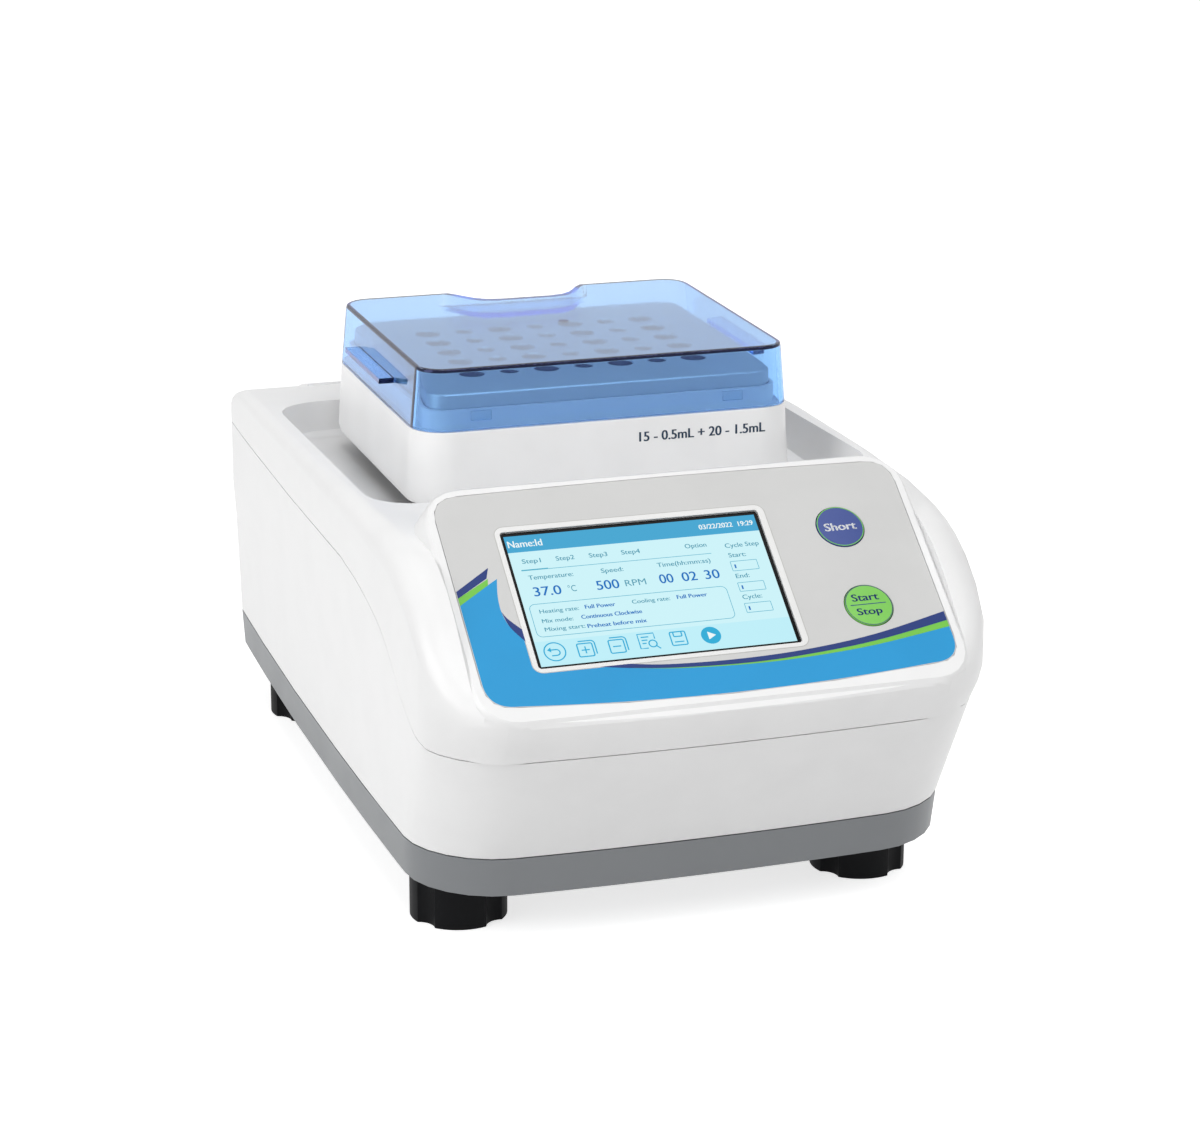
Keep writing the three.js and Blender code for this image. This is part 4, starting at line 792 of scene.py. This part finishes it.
# %% Light the picture
PICTURE_LEFT, PICTURE_FOOT = -74.07, 16.5
PICTURE_WIDE, PICTURE_TALL = 107.8, 64.3
PICTURE_HEIGHT = -0.9
PICTURE_INSET = 0.3
LAYER = 0.02
HEADER_FOOT, FOOTER_HEAD = 56.1, 12.0
BANDS = {"header": (HEADER_FOOT, PICTURE_TALL, "header blue"),
         "body": (FOOTER_HEAD, HEADER_FOOT, "pale cyan"), "footer": (0, FOOTER_HEAD, "cyan")}


def layer(pieces, step, name, colour):
    """File a printed layer of the picture, a number of steps above the glass."""
    piece = joined(pieces)
    corner = (PICTURE_LEFT, PICTURE_FOOT, PICTURE_HEIGHT + step * LAYER)
    put(piece, Matrix.Translation(Vector(corner) * MM))
    on_panel(piece, "display_" + name, lit[colour])


for name, (band_low, band_high, colour) in BANDS.items():
    band = flat([box_of(PICTURE_INSET, PICTURE_WIDE, band_low, band_high)], 0, LAYER)
    layer([band], 0, name, colour)
print("picture bands:", list(BANDS))

# %% [markdown]
# Lines are a quarter of a millimetre wide, about two dots of the display. A thicker one marks the tab
# that is open. Each is a thin outline of its own, given by its left, right, lower and upper side, because
# a curve with a round section would stand up from the glass.

# %% Draw its boxes and lines
THIN_LINE = 0.25
TAB_LINE = 0.6
LINE_UP = 46.7
TAB_LEFT, TAB_RIGHT, LINE_RIGHT = 3.7, 14.9, 84.4
INPUT_BOXES = [(90.9, 102.5, 36.9, 41.9), (91.0, 102.4, 26.5, 31.1), (90.9, 102.4, 15.9, 20.7)]
INPUT_CORNER = 0.4
NOTES_BOX = (2.3, 85.8, 14.0, 30.2)
NOTES_CORNER = 2.5
line_outlines = [outlined(*place, INPUT_CORNER, THIN_LINE) for place in INPUT_BOXES]
line_outlines.append(outlined(*NOTES_BOX, NOTES_CORNER, THIN_LINE))
line_outlines.append([box_of(TAB_RIGHT, LINE_RIGHT, LINE_UP, LINE_UP + THIN_LINE)])
line_outlines.append([box_of(TAB_LEFT, TAB_RIGHT, LINE_UP, LINE_UP + TAB_LINE)])
layer([flat(outlines, 0, LAYER) for outlines in line_outlines], 1, "lines", "line teal")
print("boxes and lines:", len(line_outlines))

# %% [markdown]
# A table is the shortest way to set many words, and one function turns it into pieces. Each entry has its
# words, left end, right end, base line and height of capitals. Labels are grey-teal, values blue.

# %% Set its words
SMALL, MIDDLE, UNIT, LARGE = 2.0, 2.3, 3.2, 4.7
TABS_UP = 50.3
HEADER_WORDS = [("Name:Id", 1.2, 15.5, 58.6, 3.5), ("03/22/2022  19:29", 82.8, 106.2, 59.2, 2.5)]
LABEL_WORDS = [
    ("Step1", 5.0, 12.8, TABS_UP, MIDDLE), ("Step2", 19.2, 26.9, TABS_UP, MIDDLE),
    ("Step3", 33.2, 40.9, TABS_UP, MIDDLE), ("Step4", 46.9, 54.8, TABS_UP, MIDDLE),
    ("Option", 74.2, 83.4, 50.4, MIDDLE), ("Cycle Step", 91.1, 105.7, 48.8, MIDDLE),
    ("Temperature:", 5.7, 24.3, 42.1, MIDDLE), ("Speed:", 36.2, 45.5, 42.2, MIDDLE),
    ("Time(hh:mm:ss)", 60.1, 82.9, 42.4, MIDDLE), ("Start:", 91.3, 98.7, 43.9, MIDDLE),
    ("End:", 91.4, 97.2, 33.3, MIDDLE), ("Cycle:", 91.2, 99.5, 22.7, MIDDLE),
    ("Heating rate:", 6.1, 22.4, 25.4, SMALL), ("Cooling rate:", 44.9, 60.9, 25.8, SMALL),
    ("Mix mode:", 6.0, 18.9, 20.7, SMALL), ("Mixing start:", 6.1, 22.8, 16.6, SMALL)]
VALUE_WORDS = [
    ("37.0", 6.1, 17.5, 33.9, LARGE), ("500", 32.5, 41.9, 34.1, LARGE), ("00", 59.2, 65.0, 34.3, LARGE),
    ("02", 68.8, 75.1, 34.3, LARGE), ("30", 78.6, 84.8, 34.3, LARGE),
    ("Full Power", 25.1, 37.7, 25.6, SMALL), ("Full Power", 64.0, 76.8, 26.0, SMALL),
    ("Continuous Clockwise", 22.4, 47.7, 20.9, SMALL), ("Preheat before mix", 23.8, 48.5, 16.3, SMALL)]
BOX_WORDS = [("1", 92.3, 93.0, base, SMALL) for base in (38.3, 27.7, 17.2)]
UNIT_WORDS = [("°C", 20.5, 23.9, 34.6, UNIT), ("RPM", 44.5, 53.3, 34.6, UNIT)]
LABEL_WEIGHT, VALUE_WEIGHT = 0.04, 0.08


def words(table, weight=0):
    return [letters(*word, 0, LAYER, weight) for word in table]


layer(words(HEADER_WORDS, VALUE_WEIGHT), 1, "title_words", "white")
layer(words(LABEL_WORDS, LABEL_WEIGHT) + words(UNIT_WORDS), 1, "labels", "grey teal")
layer(words(VALUE_WORDS, VALUE_WEIGHT) + words(BOX_WORDS), 1, "values", "blue")
print("labels:", len(LABEL_WORDS), "values:", len(VALUE_WORDS))

# %% [markdown]
# Six icons stand in the footer: a way back, two sheets with plus and minus, a list with a lens, a disk
# and a disc with an arrow. Each is drawn about its own middle, so that it can be moved by one pair of
# numbers. Most of their parts are strokes, rings and squares of one line width.

# %% Set out the icons
ICON_LINE = 0.55
ICON_CORNER = 0.9
ICONS = {"back": (7.5, 6.6), "plus": (20.1, 6.0), "minus": (33.2, 6.2), "list": (46.2, 7.2),
         "save": (59.2, 7.0), "play": (72.9, 6.9)}
icons = []


def icon(name, *outlines):
    """Draw outlines about the middle of an icon."""
    x, y = ICONS[name]
    icons.append(flat([[(x + dx, y + dy) for dx, dy in outline] for outline in outlines], 0, LAYER))


def icon_stroke(name, *points):
    icon(name, stroke(points, ICON_LINE))


def icon_ring(name, x, y, diameter):
    icon(name, disc(x, y, diameter), disc(x, y, diameter - 2 * ICON_LINE))


def icon_square(name, half):
    icon(name, *outlined(-half, half, -half, half, ICON_CORNER, ICON_LINE))


print("icons:", list(ICONS))

# %% [markdown]
# The first three icons are a ring with an arrow that turns back, and two sheets. Behind each sheet shows
# the edge of a second one.

# %% Draw the arrow and the sheets
BACK_DIAMETER = 9.2
BACK_TIP = [(-3.0, 1.0), (-1.4, 2.2), (-1.4, -0.2)]
BACK_START, BACK_END = (-1.8, 1.0), (-1.6, -1.8)
BACK_TURN_X, BACK_TURN_Y, BACK_TURN_RADIUS = 0.6, -0.4, 1.4
BACK_TURN_STEPS = 8
SHEET_HALF = 3.4
SHEET_REACH, SHEET_START, SHEET_CORNER = 4.3, -2.3, 1.5
SIGN_HALF = 1.7
icon_ring("back", 0, 0, BACK_DIAMETER)
back_turn = arc(BACK_TURN_X, BACK_TURN_Y, BACK_TURN_RADIUS, 90, -90, BACK_TURN_STEPS)
icon_stroke("back", BACK_START, (BACK_TURN_X, BACK_START[1]), *back_turn, BACK_END)
icon("back", BACK_TIP)
sheet_middle = SHEET_REACH - SHEET_CORNER
sheet_turn = arc(sheet_middle, sheet_middle, SHEET_CORNER, 90, 0, SMALL_STEPS)
for name in ("plus", "minus"):
    icon_square(name, SHEET_HALF)
    icon_stroke(name, (SHEET_START, SHEET_REACH), *sheet_turn, (SHEET_REACH, SHEET_START))
    icon_stroke(name, (-SIGN_HALF, 0), (SIGN_HALF, 0))
icon_stroke("plus", (0, -SIGN_HALF), (0, SIGN_HALF))
print("parts drawn:", len(icons))

# %% [markdown]
# The other three are a page with lines and a lens, a disk with its shutter and label, and a full disc
# whose white arrow is a layer of its own.

# %% Draw the list, the disk and the disc
PAGE_EDGE = [(-0.4, -3.4), (-3.6, -3.4), (-3.6, 3.6), (3.2, 3.6), (3.2, 0.8)]
PAGE_LINES_UP = (2.0, 0.5, -1.0)
PAGE_LINE_LEFT, PAGE_LINE_RIGHT = -2.4, -0.2
LENS_X, LENS_Y, LENS_DIAMETER = 1.9, -1.4, 3.8
LENS_GRIP = [(3.2, -2.7), (4.6, -4.1)]
DISK_HALF = 3.5
SHUTTER = (-2.0, 2.0, 0.7, DISK_HALF)
SHUTTER_CORNER = 0.7
DISK_LABEL = [(-2.0, -1.6), (2.0, -1.6)]
PLAY_DIAMETER = 8.3
PLAY_ARROW = [(-1.2, -1.9), (2.1, 0), (-1.2, 1.9)]
icon_stroke("list", *PAGE_EDGE)
for line_up in PAGE_LINES_UP:
    icon_stroke("list", (PAGE_LINE_LEFT, line_up), (PAGE_LINE_RIGHT + line_up / 2, line_up))
icon_ring("list", LENS_X, LENS_Y, LENS_DIAMETER)
icon_stroke("list", *LENS_GRIP)
icon_square("save", DISK_HALF)
icon("save", *outlined(*SHUTTER, SHUTTER_CORNER, ICON_LINE))
icon_stroke("save", *DISK_LABEL)
icon("play", disc(0, 0, PLAY_DIAMETER))
layer(icons, 1, "icons", "teal")
play_x, play_y = ICONS["play"]
arrow = [(play_x + x, play_y + y) for x, y in PLAY_ARROW]
layer([flat([arrow], 0, LAYER)], 2, "play_arrow", "white")
print("display done:", len(icons), "icon parts")

# %% [markdown]
# ## Keys
# Two round keys press into the film. A cylinder with a bevel would look right at rest. Turning a profile
# also gives the parts that hold the key: a flange under the film and a stem over its switch. The print
# on the cap, its words and a thin ring, rides down with the key.

# %% Turn and print the keys
KEY_PROUD = 0.4
KEY_RIM = 0.2
KEY_RING = 0.35
RING_DIAMETERS = (KEY_DIAMETER - KEY_RIM, KEY_DIAMETER - KEY_RIM - 2 * KEY_RING)
FLANGE_TOP = -4.0
FLANGE_THICKNESS = 1.5
STEM_DIAMETER = 5
STEM_FOOT = -7.7
KEY_WEIGHT = 0.14
KEY_RULE = (-7.9, 7.6, 0.3, 0.7)
KEY_LOOKS = {"short": (blue_key, white_ink, green_ink), "start_stop": (green_key, navy_ink, dark_ink)}
KEY_SLOTS = {"short": "blue_key", "start_stop": "green_key"}
KEY_WORDS = {"short": [("Short", -6.9, 6.8, -1.9, 4.1)],
             "start_stop": [("Start", -6.3, 5.2, 2.3, 3.7), ("Stop", -6.0, 4.7, -4.6, 3.5)]}
key_radius, stem_radius = KEY_DIAMETER / 2, STEM_DIAMETER / 2
flange_radius, flange_foot = key_radius + FLANGE_THICKNESS, FLANGE_TOP - FLANGE_THICKNESS
rim = arc(key_radius - KEY_RIM, KEY_PROUD - KEY_RIM, KEY_RIM, 0, 90, SMALL_STEPS)
profile = [(0, STEM_FOOT), (stem_radius, STEM_FOOT), (stem_radius, flange_foot),
           (flange_radius, flange_foot), (flange_radius, FLANGE_TOP), (key_radius, FLANGE_TOP), *rim,
           (0, KEY_PROUD)]
for name, key_up in KEYS_UP.items():
    finish, word_ink, ring_ink = KEY_LOOKS[name]
    slot, body = KEY_SLOTS[name], name + "_key"
    key = turned(profile)
    smooth(key)
    key.location = (KEY_X * MM, key_up * MM, 0)
    on_panel(key, name + "_key_cap", finish, body, [name + "_button"])
    print_parts = words(KEY_WORDS[name], KEY_WEIGHT)
    if name == "start_stop":
        print_parts.append(flat([box_of(*KEY_RULE)], 0, LAYER))
    label = joined(print_parts)
    put(label, Matrix.Translation(Vector((KEY_X, key_up, KEY_PROUD)) * MM))
    on_panel(label, name + "_key_words", word_ink, body)
    ring = flat([disc(KEY_X, key_up, diameter) for diameter in RING_DIAMETERS], KEY_PROUD, KEY_PROUD + LAYER)
    on_panel(ring, name + "_key_ring", ring_ink, body)
print("keys:", list(KEYS_UP))

# %% [markdown]
# ## Heated block
# The block is milled from one bar, so it is made as in a workshop: first the bar, then the rounds of its
# upright corners, then the broken edge of its top. Each bevel takes only the edges that are picked.

# %% Cut the bar
BLOCK_CORNER, BLOCK_CORNER_SEGMENTS = 9, 8
BLOCK_BEVEL, BLOCK_BEVEL_SEGMENTS = 1.0, 3
FACING_UP = 0.9
block_low, block_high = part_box("heat_block")
block_middle = (block_low + block_high) / 2
bpy.ops.mesh.primitive_cube_add(size=1, location=block_middle)
bar = bpy.context.object
bar.scale = block_high - block_low
bpy.ops.object.transform_apply(location=True, rotation=True, scale=True)


def is_upright(edge):
    heights = [bar.data.vertices[end].co.z for end in edge.vertices]
    return max(heights) - min(heights) > MM


pick(bar, "EDGE", is_upright)
bpy.ops.mesh.bevel(offset=BLOCK_CORNER * MM, segments=BLOCK_CORNER_SEGMENTS, affect="EDGES")
leave()
pick(bar, "FACE", lambda face: face.normal.z > FACING_UP)
bpy.ops.mesh.bevel(offset=BLOCK_BEVEL * MM, segments=BLOCK_BEVEL_SEGMENTS, affect="EDGES")
leave()
print("bar faces:", len(bar.data.polygons))

# %% [markdown]
# Each well is bored, tapers to the tip of its tube and has a small chamfer at its mouth. Dark discs on
# the top would pass from afar, but not with the lid lifted. One cutter is turned for each well. They are
# set out in their rows and taken off the bar together, because one cut is cleaner than many.

# %% Bore the wells
ROWS = 5
ROW_PITCH = 18
COLUMN_PITCH = 34
WELLS = {"large": {"columns": 4, "diameter": 11, "depth": 36},
         "small": {"columns": 3, "diameter": 8, "depth": 28}}
TIP_DIAMETER = 4.4
TAPER = 14
CHAMFER = 0.5
WELL_STEPS = 32
cutters = []
for well in WELLS.values():
    radius, depth = well["diameter"] / 2, well["depth"]
    bore = [(0, -depth), (TIP_DIAMETER / 2, -depth), (radius, TAPER - depth), (radius, -CHAMFER),
            (radius + 2 * CHAMFER, CHAMFER), (0, CHAMFER)]
    for row in range(ROWS):
        for column in range(well["columns"]):
            cutter = turned(bore, WELL_STEPS)
            cutter.location = (block_middle.x + (column - (well["columns"] - 1) / 2) * COLUMN_PITCH * MM,
                               block_middle.y + (row - (ROWS - 1) / 2) * ROW_PITCH * MM, block_high.z)
            cutters.append(cutter)
wells = len(cutters)
cut(bar, joined(cutters))
smooth(bar)
block_body = nodes["heat_block"]["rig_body"]
settle(bar, "heat_block_bored", anodised, block_body, ["heat_block"])
print("wells:", wells, "block faces:", len(bar.data.polygons))

# %% [markdown]
# ## Feet
# Each foot is a turned rubber knob with a short stud. Four round valleys down its side leave four wide
# lobes, and every edge is well rounded. An extruded star outline would give the same knob, but turning
# and cutting follow how its mould is made, and one bevel then rounds rims and valleys alike.

# %% Cut the feet
FOOT_DIAMETER = 41
VALLEY_DIAMETER = 14
VALLEY_DEPTH = 2.5
VALLEY_TURN = 32
LOBES = 4
OVERSHOOT = 1
FOOT_ROUND, FOOT_ROUND_SEGMENTS = 1.4, 4
FOOT_SHARPER_THAN = 30
FOOT_SMOOTH_ANGLE = 40
STUD_DIAMETER = 8
STUD_RISE = 3.6
FOOT_STEPS, VALLEY_STEPS, STUD_STEPS = 96, 48, 24
FEET = ("foot_front_left", "foot_front_right", "foot_rear_left", "foot_rear_right")


def post(diameter, low, high, steps):
    """A turned post between two heights."""
    return turned([(0, low), (diameter / 2, low), (diameter / 2, high), (0, high)], steps)


reach = (FOOT_DIAMETER / 2 - VALLEY_DEPTH + VALLEY_DIAMETER / 2) * MM
for name in FEET:
    foot_low, foot_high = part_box(name)
    middle = (foot_low + foot_high) / 2
    top = foot_high.z / MM - STUD_RISE
    foot = post(FOOT_DIAMETER, 0, top, FOOT_STEPS)
    valleys = []
    for lobe in range(LOBES):
        turn = math.radians(VALLEY_TURN + 360 / LOBES * lobe)
        valley = post(VALLEY_DIAMETER, -OVERSHOOT, top + OVERSHOOT, VALLEY_STEPS)
        valley.location = (reach * math.cos(turn), reach * math.sin(turn), 0)
        valleys.append(valley)
    cut(foot, joined(valleys))
    apply_modifier(foot, "BEVEL", width=FOOT_ROUND * MM, segments=FOOT_ROUND_SEGMENTS, limit_method="ANGLE",
                   angle_limit=math.radians(FOOT_SHARPER_THAN))
    foot = joined([foot, post(STUD_DIAMETER, top - OVERSHOOT, top + STUD_RISE, STUD_STEPS)])
    smooth(foot, FOOT_SMOOTH_ANGLE)
    foot.location = (middle.x, middle.y, 0)
    settle(foot, name + "_lobed", rubber, "casing", [name])
print("feet:", len(FEET))

# %% [markdown]
# ## Marks
# The head says what its wells take, in dark blue. Its front leans back by the draft of its mould, so the
# words are set flat and then turned by that angle, which keeps them from sinking in. The lid was filled
# through one gate in the middle of its top, which left a small mark inside the clear wall. The mark is a
# navy disc sunk in the wall. Its navy is painted shade, standing in for the dark look of the clear mark.

# %% Add the marks of the head and the lid
HEAD_TEXT = "15 - 0.5mL + 20 - 1.5mL"
HEAD_LEFT, HEAD_RIGHT, HEAD_BASE, HEAD_CAPITALS = 13.1, 71.0, 176.7, 4.4
HEAD_WEIGHT = 0.16
HEAD_DRAFT = 3.55
HEAD_FRONT_Y = -41.38
GATE_X, GATE_Y = 2.6, 34.4
GATE_FOOT_RADIUS, GATE_RADIUS, GATE_TOP_RADIUS = 1.6, 2.5, 2.3
GATE_TALL = 0.6
GATE_SINK = 0.62
GATE_STEPS = 24
head_text = letters(HEAD_TEXT, HEAD_LEFT, HEAD_RIGHT, 0, HEAD_CAPITALS, 0, INK, HEAD_WEIGHT)
draft = Matrix.Rotation(math.radians(90 - HEAD_DRAFT), 4, "X")
put(head_text, Matrix.Translation(Vector((0, HEAD_FRONT_Y, HEAD_BASE)) * MM) @ draft)
settle(head_text, "head_words", dark_ink, "shaking_head")
lid_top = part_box("lid")[1].z
# The gate mark's navy disc is painted shade inside the clear wall.
gate = turned([(0, 0), (GATE_FOOT_RADIUS, 0), (GATE_RADIUS, GATE_TALL / 2), (GATE_TOP_RADIUS, GATE_TALL),
               (0, GATE_TALL)], GATE_STEPS)
gate.location = (GATE_X * MM, GATE_Y * MM, lid_top - GATE_SINK * MM)
smooth(gate)
settle(gate, "lid_gate_mark_painted_shade", navy_ink, "lid")
print("marked:", head_text.name, gate.name)

# %% [markdown]
# ## Screws and switch marks
# Pan-head screws hold the fan and the rear panel, and four more under the base hold the chassis plate.
# Each head is turned with a round edge and gets a cross recess, cut by two thin plates. A dome alone
# would be taken for a rivet.

# %% Make a screw
SCREW_DIAMETER = 5.6
SCREW_TALL = 1.8
DOME_SHARE, CROWN_SHARE = 0.7, 0.95
RECESS_LENGTH, RECESS_WIDTH, RECESS_DEPTH = 3.4, 0.8, 1.1
SCREW_STEPS, DOME_STEPS = 32, 8


def screw():
    """One pan-head screw that points down, with its seat at height zero."""
    radius = SCREW_DIAMETER / 2
    dome_start = (radius, SCREW_TALL * (1 - DOME_SHARE))
    dome = bend(dome_start, (radius * CROWN_SHARE, SCREW_TALL), (0, SCREW_TALL), DOME_STEPS)
    head = turned([(0, 0), (radius, 0), *dome], SCREW_STEPS)
    for size_x, size_y in ((RECESS_WIDTH, RECESS_LENGTH), (RECESS_LENGTH, RECESS_WIDTH)):
        slit = [box_of(-size_x / 2, size_x / 2, -size_y / 2, size_y / 2)]
        cut(head, flat(slit, SCREW_TALL - RECESS_DEPTH, SCREW_TALL + RECESS_DEPTH))
    smooth(head)
    return head


def drive(name, place, turn):
    head = screw()
    head.rotation_euler = turn
    head.location = place
    settle(head, name, zinc, "casing")


print("a screw head is", SCREW_DIAMETER, "millimetres wide")

# %% [markdown]
# The screws of the fan stand at the corners of its frame, those of the panel inside its edge, and those
# of the base under the bosses of the pan. Their places come from the boxes of the CAD nodes where they
# can, so that they stay on their parts. One loop over the corners drives all three kinds.

# %% Drive the screws
FAN_SCREW_OFFSET = 35.75
PANEL_LAP = 3.2
PANEL_SCREW_INSET = 6
BOSS_X, BOSS_FRONT, BOSS_REAR = 80, -70, 120
PAN_UNDERSIDE = 25.5
TO_REAR = (math.radians(-90), 0, 0)
TO_FLOOR = (math.radians(180), 0, 0)
panel_low, panel_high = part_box("rear_panel")
fan_low, fan_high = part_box("fan_frame")
fan_middle = (fan_low.z + fan_high.z) / 2
panel_middle = (panel_high.z + panel_low.z) / 2
screw_inset = (PANEL_LAP + PANEL_SCREW_INSET) * MM
screw_x = panel_high.x - screw_inset
screw_rise = (panel_high.z - panel_low.z) / 2 - screw_inset
fan_reach = FAN_SCREW_OFFSET * MM
corners = [(side_x, side_z) for side_x in (-1, 1) for side_z in (-1, 1)]
for count, (side_x, side_z) in enumerate(corners, 1):
    at_fan = (side_x * fan_reach, panel_high.y, fan_middle + side_z * fan_reach)
    drive("fan_screw_%d" % count, at_fan, TO_REAR)
    at_panel = (side_x * screw_x, panel_high.y, panel_middle + side_z * screw_rise)
    drive("panel_screw_%d" % count, at_panel, TO_REAR)
    at_boss = Vector((side_x * BOSS_X, BOSS_FRONT if side_z < 0 else BOSS_REAR, PAN_UNDERSIDE))
    drive("base_screw_%d" % count, at_boss * MM, TO_FLOOR)
print("screws:", 3 * len(corners))

# %% [markdown]
# The power rocker is part of a drum with a dished face. Its upper half carries a bar for on and its lower
# half a ring for off. A print on a slope could be projected, but these are small and each half is flat
# enough. Both marks are made flat, then turned onto the slope of their half.

# %% Print the rocker
ROCKER_RADIUS = 8.6
ROCKER_HALF_ANGLE = 62
ROCKER_DISH = 1.2
ROCKER_TILT = 8
MARK_TALL = 4.4
MARK_LINE = 0.9
rocker_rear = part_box("power_rocker")[1].y
frame_low, frame_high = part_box("rocker_frame")
half_angle, tilt_angle = math.radians(ROCKER_HALF_ANGLE), math.radians(ROCKER_TILT)
corner_reach = ROCKER_RADIUS * math.cos(half_angle - tilt_angle)
face_half = ROCKER_RADIUS * math.sin(half_angle)
face_reach = ROCKER_RADIUS * math.cos(half_angle) - ROCKER_DISH / 2
face_slope = math.atan2(ROCKER_DISH, face_half)
axle = (frame_low + frame_high) / 2
axle.y = rocker_rear - corner_reach * MM
tilt = Matrix.Rotation(-tilt_angle, 4, "X")
facing_rear = Matrix.Rotation(math.radians(180), 4, "Z") @ Matrix.Rotation(math.radians(90), 4, "X")
marks = {"on": [box_of(-MARK_LINE / 2, MARK_LINE / 2, -MARK_TALL / 2, MARK_TALL / 2)],
         "off": [disc(0, 0, MARK_TALL), disc(0, 0, MARK_TALL - 2 * MARK_LINE)]}
for side, (name, outlines) in zip((1, -1), marks.items()):
    mark = flat(outlines, 0, INK)
    half_middle = Matrix.Translation(Vector((0, face_reach, side * face_half / 2)) * MM)
    slope = Matrix.Rotation(-side * face_slope, 4, "X")
    put(mark, Matrix.Translation(axle) @ tilt @ half_middle @ slope @ facing_rear)
    settle(mark, "rocker_mark_" + name, white_ink, "power_switch")
print("rocker marks:", list(marks))

# %% [markdown]
# ## End

# %% Finish
print("finished")
